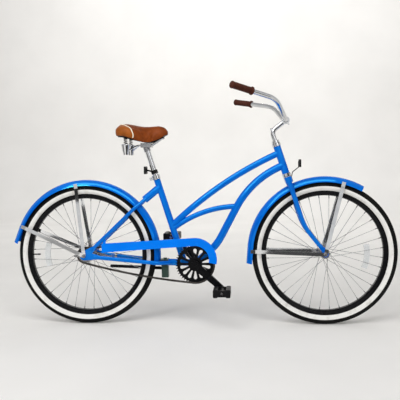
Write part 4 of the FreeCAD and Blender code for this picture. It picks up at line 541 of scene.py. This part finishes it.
def merged_copy(node: str, name: str) -> bpy.types.Object:
    """A copy of a CAD node with its loose triangles joined.

    Args:
        node: The CAD node.
        name: The copy's name.

    Returns:
        The copy, in the node's place and on no body.
    """
    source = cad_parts[node]
    piece = bpy.data.objects.new(name, source.data.copy())
    bpy.context.scene.collection.objects.link(piece)
    piece.data.materials.clear()
    activate(piece)
    bpy.ops.object.mode_set(mode="EDIT")
    bpy.ops.mesh.select_all(action="SELECT")
    bpy.ops.mesh.remove_doubles(threshold=MERGE)
    bpy.ops.object.mode_set(mode="OBJECT")
    return piece


def settle(piece: bpy.types.Object, body: str, materials: Sequence[bpy.types.Material]) -> None:
    """Gives a piece its body and materials.

    Args:
        piece: The piece.
        body: The CAD body it rides on.
        materials: Its materials, in the order of its faces' numbers.
    """
    for material in materials:
        piece.data.materials.append(material)
    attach(piece, body)
    LOG.info("piece %s on %s: %d faces", piece.name, body, len(piece.data.polygons))


def cad_points(node: str) -> np.ndarray:
    """The vertices of a CAD node as rows of an array."""
    return np.array([v.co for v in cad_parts[node].data.vertices], float)


# Sub-assemblies


@dataclass
class Tyre:
    """A balloon tyre with a block tread, a white band and a valve."""

    end: str
    rubber: bpy.types.Material
    band: bpy.types.Material
    resin: bpy.types.Material
    section: float = 0.024
    sides: int = 32
    steps: int = 144
    tread_angle: float = 51.0
    tread_height: float = 0.001
    tread_slope: float = 0.8
    band_from: float = 84.0
    band_to: float = 141.0
    band_height: float = 0.0005
    smooth_angle: float = 30.0
    valve_angle: float = 180.0
    valve_reach: float = 0.036
    valve_depth: float = 0.0185
    valve_foot: float = 0.0038
    valve_stem: float = 0.0031
    valve_cap: float = 0.0037
    valve_tip: float = 0.0028
    valve_steps: int = 20
    centre: Vector = field(init=False)
    ring: float = field(init=False)

    def __post_init__(self) -> None:
        """Reads the wheel's centre and size from the CAD tyre."""
        low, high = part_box(f"{self.end}_tyre")
        self.centre = (low + high) / 2
        self.ring = (high.x - low.x) / 2 - self.section - self.tread_height

    def around(self, point: Vector) -> float:
        """How far round the section a point is, in degrees from the crown.

        Args:
            point: The point.

        Returns:
            The angle, the same on both sides.
        """
        off = point - self.centre
        out = math.hypot(off.x, off.z) - self.ring
        return math.degrees(math.atan2(abs(off.y), out))

    def build(self) -> bpy.types.Object:
        """Spins the section, then cuts the tread and raises the band.

        Returns:
            The tyre.
        """
        deselect()
        bpy.ops.mesh.primitive_circle_add(vertices=self.sides, radius=self.section, location=(0, 0, 0))
        piece = bpy.context.object
        piece.name = f"{self.end}_tyre_cover"
        piece.rotation_euler.z = math.pi / self.sides
        piece.location = self.centre + Vector((self.ring, 0, 0))
        bpy.ops.object.transform_apply(location=True, rotation=True, scale=True)
        bpy.ops.object.mode_set(mode="EDIT")
        bpy.ops.mesh.select_all(action="SELECT")
        bpy.ops.mesh.spin(steps=self.steps, angle=math.tau, center=self.centre, axis=(0, 1, 0))
        close_up(piece)
        bpy.ops.object.mode_set(mode="EDIT")
        pick_faces(piece, lambda face: self.around(face.calc_center_median()) < self.tread_angle)
        slope = self.tread_height * self.tread_slope
        bpy.ops.mesh.inset(thickness=slope, depth=self.tread_height, use_individual=True)
        pick_faces(piece, lambda face: self.band_from < self.around(face.calc_center_median()) < self.band_to)
        bpy.ops.mesh.inset(thickness=self.band_height, depth=self.band_height)
        mesh = bmesh.from_edit_mesh(piece.data)
        for face in mesh.faces:
            face.material_index = int(face.select)
        bmesh.update_edit_mesh(piece.data)
        bpy.ops.object.mode_set(mode="OBJECT")
        bpy.ops.object.shade_smooth_by_angle(angle=math.radians(self.smooth_angle))
        return piece

    def valve(self) -> bpy.types.Object:
        """Turns the valve's stem and cap.

        Returns:
            The valve.
        """
        turn = math.radians(self.valve_angle)
        out = Vector((math.cos(turn), 0, math.sin(turn)))
        low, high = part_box(f"{self.end}_rim")
        rim = (high.x - low.x) / 2
        base = self.centre + out * (rim - self.valve_depth)
        reach = self.valve_reach
        profile = [
            (0.0, 0.0), (self.valve_foot, 0.0), (self.valve_foot, 0.003), (self.valve_stem, 0.004),
            (self.valve_stem, reach * 0.62), (self.valve_cap - 0.0001, reach * 0.63),
            (self.valve_cap, reach * 0.9), (self.valve_tip, reach * 0.985), (0.0, reach),
        ]
        return lathe(f"{self.end}_valve", profile, base, -out, self.valve_steps)

    def dress(self) -> None:
        """Builds the tyre and its valve and puts them on the wheel."""
        tyre = self.build()
        settle(tyre, f"{self.end}_wheel", [self.rubber, self.band])
        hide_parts(f"{self.end}_tyre")
        settle(self.valve(), f"{self.end}_wheel", [self.resin])


@dataclass
class Grips:
    """Two ribbed grips with a collar at each end."""

    rubber: bpy.types.Material
    ribs: int = 13
    radius: float = 0.0134
    rib: float = 0.0011
    collar: float = 0.018
    outer_collar: float = 0.0155
    bore: float = 0.01115
    cap: float = 0.004
    edge: float = 0.001
    collar_width: float = 0.0045
    neck: float = 0.008
    ribs_from: float = 0.011
    ribs_short: float = 0.012
    outer_neck: float = 0.010
    outer_width: float = 0.007
    outer_edge: float = 0.002
    steps: int = 40

    def profile(self, length: float) -> list[tuple[float, float]]:
        """The grip's outline.

        Args:
            length: The grip's length.

        Returns:
            Radius and height pairs, from the bore's floor to the closed end.
        """
        floor = length - self.cap
        lip = self.collar - self.edge
        points = [(0.0, floor), (self.bore, floor), (self.bore, 0.0), (lip, 0.0), (self.collar, self.edge)]
        points += [(self.collar, self.collar_width - self.edge), (lip, self.collar_width)]
        points.append((self.radius, self.neck))
        start, stop = self.ribs_from, length - self.ribs_short
        pitch = (stop - start) / self.ribs
        for index in range(self.ribs):
            foot = start + index * pitch
            for share, lift in ((0.0, 0.0), (0.3, 1.0), (0.7, 1.0), (0.999, 0.0)):
                points.append((self.radius + lift * self.rib, foot + share * pitch))
        points += [(self.radius, length - self.outer_neck), (self.outer_collar, length - self.outer_width)]
        points.append((self.outer_collar, length - self.outer_edge))
        return points + [(self.outer_collar - self.outer_edge, length), (0.0, length)]

    def dress(self) -> None:
        """Builds both grips along the CAD ones."""
        points = cad_points("grips")
        for word, side in (("left", 1), ("right", -1)):
            mine = points[points[:, 1] * side > 0]
            middle = mine.mean(0)
            axis = np.linalg.svd(mine - middle, full_matrices=False)[2][0]
            axis *= np.sign(axis[1]) * side
            along = (mine - middle) @ axis
            base = Vector(middle + axis * along.min())
            grip = lathe(f"grip_{word}", self.profile(float(np.ptp(along))), base, Vector(axis), self.steps)
            settle(grip, "steering", [self.rubber])
            if side > 0:
                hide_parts("grips")


@dataclass
class Saddle:
    """A sprung saddle's padded cover, with piping on its curved seam."""

    hide: Hide
    under: bpy.types.Material
    cord: bpy.types.Material
    voxel: float = 0.005
    pressure: float = 4.0
    swell: float = 0.004
    shrink: float = 0.002
    cord_radius: float = 0.0026
    under_tilt: float = -0.72
    frames: int = 20
    seam_sweep: float = 97.0
    seam_steps: int = 60
    seam_level: float = 0.42
    seam_tries: int = 12
    ray_reach: float = 0.3

    def padded_cover(self) -> bpy.types.Object:
        """Remeshes the CAD cushion and lets pressure fill it.

        Returns:
            The cover.
        """
        cover = merged_copy("saddle_cushion", "saddle_cover")
        cover.data.remesh_voxel_size = self.voxel
        bpy.ops.object.voxel_remesh()
        rest = [v.co - v.normal * self.shrink for v in cover.data.vertices]
        for vertex, place in zip(cover.data.vertices, rest):
            vertex.co = place
        self.fill(cover, rest)
        activate(cover)
        rounding = cover.modifiers.new("rounding", "SUBSURF")
        rounding.levels = rounding.render_levels = 1
        bpy.ops.object.modifier_apply(modifier=rounding.name)
        bpy.ops.object.shade_smooth()
        return cover

    def fill(self, cover: bpy.types.Object, rest: Sequence[Vector]) -> None:
        """Runs the cloth and keeps its moves under the cap.

        Args:
            cover: The cover.
            rest: Its points before it is filled.
        """
        cloth = cover.modifiers.new("padding", "CLOTH")
        cloth.settings.use_pressure = True
        cloth.settings.uniform_pressure_force = self.pressure
        cloth.settings.effector_weights.gravity = 0.0
        scene = bpy.context.scene
        for step in range(1, self.frames + 1):
            scene.frame_set(step)
        activate(cover)
        bpy.ops.object.modifier_apply(modifier=cloth.name)
        for vertex, place in zip(cover.data.vertices, rest):
            move = vertex.co - place
            if move.length > self.swell:
                vertex.co = place + move.normalized() * self.swell
        scene.frame_set(1)

    def seam_at(self, half: float) -> float:
        """Where the seam is along the saddle at a distance from its middle."""
        return self.hide.seam_tail + self.hide.seam_rise * abs(half) ** self.hide.seam_power

    def piping(self, cover: bpy.types.Object) -> bpy.types.Object:
        """Lays a cord along the seam, on the cover.

        Args:
            cover: The finished cover.

        Returns:
            The cord.
        """
        low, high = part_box("saddle_cushion")
        middle = low.z + (high.z - low.z) * self.seam_level
        points = []
        for step in range(self.seam_steps + 1):
            turn = math.radians(-self.seam_sweep + 2 * self.seam_sweep * step / self.seam_steps)
            aim = Vector((0, math.sin(turn), math.cos(turn)))
            half = high.y * math.sin(turn)
            for _ in range(self.seam_tries):
                start = Vector((self.seam_at(half), 0, middle))
                hit, place, _, _ = cover.ray_cast(start + aim * self.ray_reach, -aim)
                half = place.y if hit else half
            points.append(place)
        return wire_along("saddle_piping", points, self.cord_radius)

    def dress(self) -> None:
        """Builds the cover and its piping and puts them on the saddle."""
        cover = self.padded_cover()
        for face in cover.data.polygons:
            face.material_index = int(face.normal.z < self.under_tilt)
        settle(cover, "saddle", [self.hide.material(), self.under])
        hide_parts("saddle_cushion")
        settle(self.piping(cover), "saddle", [self.cord])


@dataclass
class Springs:
    """The two coil springs under the saddle."""

    steel: bpy.types.Material
    wire: float = 0.0018
    turns: int = 9
    steps: int = 20
    flat: float = 0.8

    def line(self, low: np.ndarray, high: np.ndarray) -> list[Vector]:
        """The coil's middle line between two corners, with flat ends.

        Args:
            low: The lowest corner of the CAD spring.
            high: Its highest corner.

        Returns:
            The points, from the foot up.
        """
        middle = (low + high) / 2
        radius = float(high[0] - low[0]) / 2 - self.wire
        foot, head = float(low[2]) + self.wire, float(high[2]) - self.wire
        points = []
        for step in range(self.turns * self.steps + 1):
            turn = step / self.steps
            share = min(max((turn - self.flat) / (self.turns - 2 * self.flat), 0.0), 1.0)
            rise = foot + share * (head - foot)
            ahead = radius * math.cos(math.tau * turn)
            aside = radius * math.sin(math.tau * turn)
            points.append(Vector((middle[0] + ahead, middle[1] + aside, rise)))
        return points

    def dress(self) -> None:
        """Winds both springs, from the cups up to the pan."""
        points = cad_points("saddle_springs")
        for word, side in (("left", 1), ("right", -1)):
            mine = points[points[:, 1] * side > 0]
            low, high = mine.min(0), mine.max(0)
            spring = wire_along(f"spring_{word}", self.line(low, high), self.wire)
            spring.data.materials.append(self.steel)
            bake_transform(spring)
            if side > 0:
                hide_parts("saddle_springs")
            LOG.info("piece %s from seat to saddle: %d faces", spring.name, len(spring.data.polygons))


@dataclass
class Finishes:
    """The materials of the CAD nodes, by slot, with some nodes apart."""

    by_slot: dict[str, bpy.types.Material]
    apart: dict[str, bpy.types.Material]

    def dress(self) -> None:
        """Gives each shown CAD node its material."""
        for name, node in sorted(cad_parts.items()):
            slot = node.data.materials[0].name
            node.data.materials[0] = self.apart.get(name, self.by_slot[slot])
            LOG.info("node %s: %s", name, node.data.materials[0].name)


@dataclass
class Studio:
    """A pale floor and backdrop, soft lights and the photograph's camera."""

    place: Triple = (0.2314, -2.7326, 0.7471)
    right: Triple = (0.99631, 0.08397, -0.01755)
    upward: Triple = (0.01254, 0.05983, 0.99813)
    back: Triple = (0.08487, -0.99467, 0.05856)
    lens: float = 52.6
    sensor: float = 36.0
    sight: float = 100.0
    floor_shade: Colour = (0.84, 0.825, 0.80, 1)
    cloud_scale: float = 1.6
    cloud_lift: float = 1.06
    # Painted light: how strongly the floor glows to the camera alone, fading between glow_full and glow_none
    # in front.
    floor_painted_glow: float = 0.44
    glow_full: float = -9.0
    glow_none: float = -1.5
    floor_size: tuple[float, float] = (26.0, 18.0)
    floor_middle: float = -4.0
    sweep_radius: float = 1.4
    sweep_steps: int = 12
    wall_height: float = 6.0
    felt_shade: Colour = (0.02, 0.02, 0.02, 1)
    felt_pale: Colour = (0.035, 0.035, 0.035, 1)
    felt_scale: float = 5.0
    world_shade: Colour = (0.95, 0.95, 0.95, 1)
    world_rise: tuple[float, float, float, float] = (0.0, 0.6, 0.75, 0.4)

    def camera(self) -> None:
        """Sets the camera where the photograph was taken."""
        data = bpy.data.cameras.new("camera")
        data.lens = self.lens
        data.sensor_width = self.sensor
        data.clip_end = self.sight
        eye = bpy.data.objects.new("camera", data)
        turn = Matrix((self.right, self.upward, self.back)).transposed().to_4x4()
        eye.matrix_world = Matrix.Translation(self.place) @ turn
        bpy.context.scene.collection.objects.link(eye)
        bpy.context.scene.camera = eye

    def floor(self) -> None:
        """Lays a floor that curves up behind, with painted light: it glows to the camera alone, more towards
        the front.
        """
        deselect()
        bpy.ops.mesh.primitive_plane_add(size=1, location=(0, 0, 0))
        sheet = bpy.context.object
        sheet.name = "floor"
        sheet.scale = (*self.floor_size, 1)
        sheet.location = (0, self.floor_middle, 0)
        bpy.ops.object.transform_apply(location=True, rotation=True, scale=True)
        bpy.ops.object.mode_set(mode="EDIT")
        mesh = bmesh.from_edit_mesh(sheet.data)
        for edge in mesh.edges:
            edge.select_set(all(v.co.y > 0 for v in edge.verts))
        mesh.select_flush_mode()
        bmesh.update_edit_mesh(sheet.data)
        for step in range(self.sweep_steps):
            turn = math.radians(90) * (step + 0.5) / self.sweep_steps
            move = self.sweep_radius * math.radians(90) / self.sweep_steps
            bpy.ops.mesh.extrude_edges_move(TRANSFORM_OT_translate={
                "value": (0, move * math.cos(turn), move * math.sin(turn)),
            })
        bpy.ops.mesh.extrude_edges_move(TRANSFORM_OT_translate={"value": (0, 0, self.wall_height)})
        bpy.ops.object.mode_set(mode="OBJECT")
        bpy.ops.object.shade_smooth()
        nodes = NodeSheet("floor")
        place = nodes.place()
        cloud = nodes.span(nodes.noise(place, self.cloud_scale, 3.0), (0.3, 0.0), (0.7, 1.0))
        pale = tuple(c * self.cloud_lift for c in self.floor_shade[:3]) + (1,)
        split = nodes.add("ShaderNodeSeparateXYZ", {"Vector": place})
        # Painted light: the floor glows, to the camera alone, from nothing near the bicycle to full strength
        # further forward.
        ahead = nodes.span(split.outputs["Y"], (self.glow_full, self.floor_painted_glow), (self.glow_none, 0.0))
        seen = nodes.add("ShaderNodeLightPath").outputs["Is Camera Ray"]
        sheet.data.materials.append(nodes.surface({
            "Base Color": nodes.mix(cloud, self.floor_shade, pale),
            "Roughness": 0.9,
            "Emission Color": self.floor_shade,
            "Emission Strength": nodes.sums("MULTIPLY", ahead, seen),
        }))

    def lamp(self, name: str, place: Triple, aim: Triple, size: Sequence[float], power: float) -> None:
        """Hangs one soft lamp.

        Args:
            name: The lamp's name.
            place: Where it hangs.
            aim: What it faces.
            size: How wide and how high it is.
            power: Its power in watts.
        """
        data = bpy.data.lights.new(name, "AREA")
        data.shape = "RECTANGLE"
        data.size, data.size_y = size
        data.energy = power
        lamp = bpy.data.objects.new(name, data)
        lamp.location = place
        lamp.visible_camera = False
        lamp.rotation_euler = (Vector(aim) - Vector(place)).to_track_quat("-Z", "Y").to_euler()
        bpy.context.scene.collection.objects.link(lamp)

    def world(self) -> None:
        """Fills the surroundings with light that fades from the horizon up."""
        world = bpy.data.worlds.new("studio")
        world.use_nodes = True
        tree = world.node_tree
        coords = tree.nodes.new("ShaderNodeTexCoord")
        split = tree.nodes.new("ShaderNodeSeparateXYZ")
        rise = tree.nodes.new("ShaderNodeMapRange")
        for name, value in zip(("From Min", "From Max", "To Min", "To Max"), self.world_rise):
            rise.inputs[name].default_value = value
        ground = tree.nodes["Background"]
        ground.inputs["Color"].default_value = self.world_shade
        tree.links.new(coords.outputs["Generated"], split.inputs[0])
        tree.links.new(split.outputs["Z"], rise.inputs["Value"])
        tree.links.new(rise.outputs["Result"], ground.inputs["Strength"])
        bpy.context.scene.world = world

    def flag(
        self, name: str, felt: bpy.types.Material, place: Triple, aim: Triple, size: Sequence[float],
    ) -> None:
        """Sets up a dark card that only gloss sees.

        Args:
            name: The card's name.
            felt: Its dark material.
            place: Where its middle is.
            aim: What it faces.
            size: How wide and how high it is.
        """
        deselect()
        bpy.ops.mesh.primitive_plane_add(size=1, location=(0, 0, 0))
        card = bpy.context.object
        card.name = name
        card.scale = (*size, 1)
        card.rotation_euler = (Vector(aim) - Vector(place)).to_track_quat("Z", "Y").to_euler()
        card.location = place
        bpy.ops.object.transform_apply(location=True, rotation=True, scale=True)
        card.data.materials.append(felt)
        card.visible_camera = False
        card.visible_diffuse = False
        card.visible_shadow = False
        card.visible_transmission = False

    def flags(self) -> None:
        """Sets up the dark cards before and beside the bicycle."""
        nodes = NodeSheet("felt")
        cloud = nodes.span(nodes.noise(nodes.place(), self.felt_scale, 2.0), (0.3, 0.0), (0.7, 1.0))
        shade = nodes.mix(cloud, self.felt_shade, self.felt_pale)
        felt = nodes.surface({"Base Color": shade, "Roughness": 1.0})
        self.flag("flag_rear", felt, (-1.8, -1.2, 0.04), (-1.8, -1.2, 1.0), (3.6, 1.2))
        self.flag("flag_front", felt, (1.8, -1.65, 0.04), (1.8, -1.65, 1.0), (3.6, 2.1))
        self.flag("flag_right", felt, (3.4, -2.2, 1.2), (0.0, 0.0, 0.9), (2.2, 2.4))
        self.flag("flag_left", felt, (-3.6, -1.6, 1.2), (0.0, 0.0, 0.9), (1.6, 2.4))
        self.flag("flag_shelf", felt, (0.0, -0.9, 0.8), (0.0, -0.9, 1.8), (6.0, 1.0))

    def dress(self) -> None:
        """Sets the stage, the light and the camera."""
        self.camera()
        self.floor()
        self.flags()
        self.world()
        self.lamp("softbox", (-0.3, -1.9, 3.1), (0, 0, 0.6), (3.6, 1.8), 62.0)
        self.lamp("key", (-1.9, -3.2, 2.4), (0, 0, 0.5), (1.0, 0.8), 26.0)
        self.lamp("fill", (2.8, -3.0, 1.6), (0, 0, 0.5), (0.6, 1.6), 10.0)
        self.lamp("wall", (0.0, 3.2, 4.4), (0, 6.4, 1.4), (6.0, 1.0), 118.0)
        bpy.context.scene.view_settings.view_transform = "Standard"


def finishes() -> Finishes:
    """Mixes the materials that the CAD nodes wear.

    Returns:
        The materials by slot, and those of single nodes.
    """
    blue = Enamel(
        "azure_enamel", (0.0, 0.140, 0.70, 1), (0.0, 0.110, 0.60, 1),
        roughness=0.10, coat=0.06, glint=(0.06, 0.68, 1, 1), shine=0.8, ior=1.8,
    )
    guard = Enamel(
        "guard_enamel", (0.0, 0.195, 0.92, 1), (0.0, 0.165, 0.82, 1),
        roughness=0.22, coat=0.06, glint=(0.05, 0.6, 1, 1), shine=0.6,
    )
    black = Enamel(
        "black_enamel", (0.006, 0.006, 0.007, 1), (0.003, 0.003, 0.004, 1),
        roughness=0.25, coat=0.02, shine=0.16,
    )
    olive = Enamel(
        "olive_enamel", (0.050, 0.082, 0.066, 1), (0.036, 0.060, 0.048, 1),
        coat=0.06, glint=(0.6, 0.75, 0.7, 1),
    )
    chrome = Bright("chrome_plate", (0.86, 0.87, 0.88, 1), (0.70, 0.71, 0.73, 1), roughness=0.06, grain=500.0)
    steel = Bright("bright_steel", (0.52, 0.52, 0.53, 1), (0.38, 0.38, 0.39, 1), roughness=0.24)
    chain = Bright("oiled_chain", (0.13, 0.12, 0.11, 1), (0.05, 0.045, 0.04, 1), roughness=0.35)
    plastic = Moulded(
        "black_resin", (0.007, 0.007, 0.008, 1), (0.014, 0.014, 0.013, 1), roughness=0.42, shine=0.12,
    )
    rubber = Moulded(
        "tyre_rubber", (0.006, 0.006, 0.006, 1), (0.014, 0.013, 0.012, 1), roughness=0.68, shine=0.08,
    )
    lens = Prism("clear_prism", (0.85, 0.86, 0.86, 1), (0.55, 0.57, 0.58, 1))
    grip = Moulded(
        "brown_rubber", (0.060, 0.013, 0.006, 1), (0.085, 0.022, 0.010, 1), roughness=0.48, shine=0.15,
    )
    vinyl = Moulded("brown_skin", (0.26, 0.055, 0.010, 1), (0.20, 0.045, 0.010, 1))
    by_slot = {
        Slot.BLUE: blue, Slot.CHROME: chrome, Slot.STEEL: steel, Slot.BLACK: black, Slot.PLASTIC: plastic,
        Slot.TYRE: rubber, Slot.LENS: lens, Slot.GRIP: grip, Slot.VINYL: vinyl,
    }
    chain_coat = chain.material()
    coats = {slot.value: finish.material() for slot, finish in by_slot.items()}
    return Finishes(
        coats,
        {
            "chain_guard": guard.material(),
            "kickstand_bracket": olive.material(),
            "chain_inner_links": chain_coat,
            "chain_outer_links": chain_coat,
            "saddle_springs": chain_coat,
            "saddle_clamp": coats[Slot.STEEL.value],
        },
    )


def main() -> None:
    """Builds every sub-assembly in order."""
    logging.basicConfig(level=logging.INFO, format="%(name)s: %(message)s")
    coats = finishes()
    coats.dress()
    band = Whitewall().material()
    resin = coats.by_slot[Slot.PLASTIC.value]
    for end in ("front", "rear"):
        Tyre(end, coats.by_slot[Slot.TYRE.value], band, resin).dress()
    Grips(coats.by_slot[Slot.GRIP.value]).dress()
    hide = Hide(
        "saddle_hide", (0.235, 0.047, 0.004, 1), (0.34, 0.090, 0.010, 1),
        seam_tail=-0.374, seam_rise=3.87, seam_power=1.7,
    )
    cord = Moulded("cream_cord", (0.88, 0.82, 0.66, 1), (0.74, 0.66, 0.50, 1))
    Saddle(hide, resin, cord.material()).dress()
    Springs(coats.apart["saddle_springs"]).dress()
    Studio().dress()


if __name__ == "__main__":
    main()
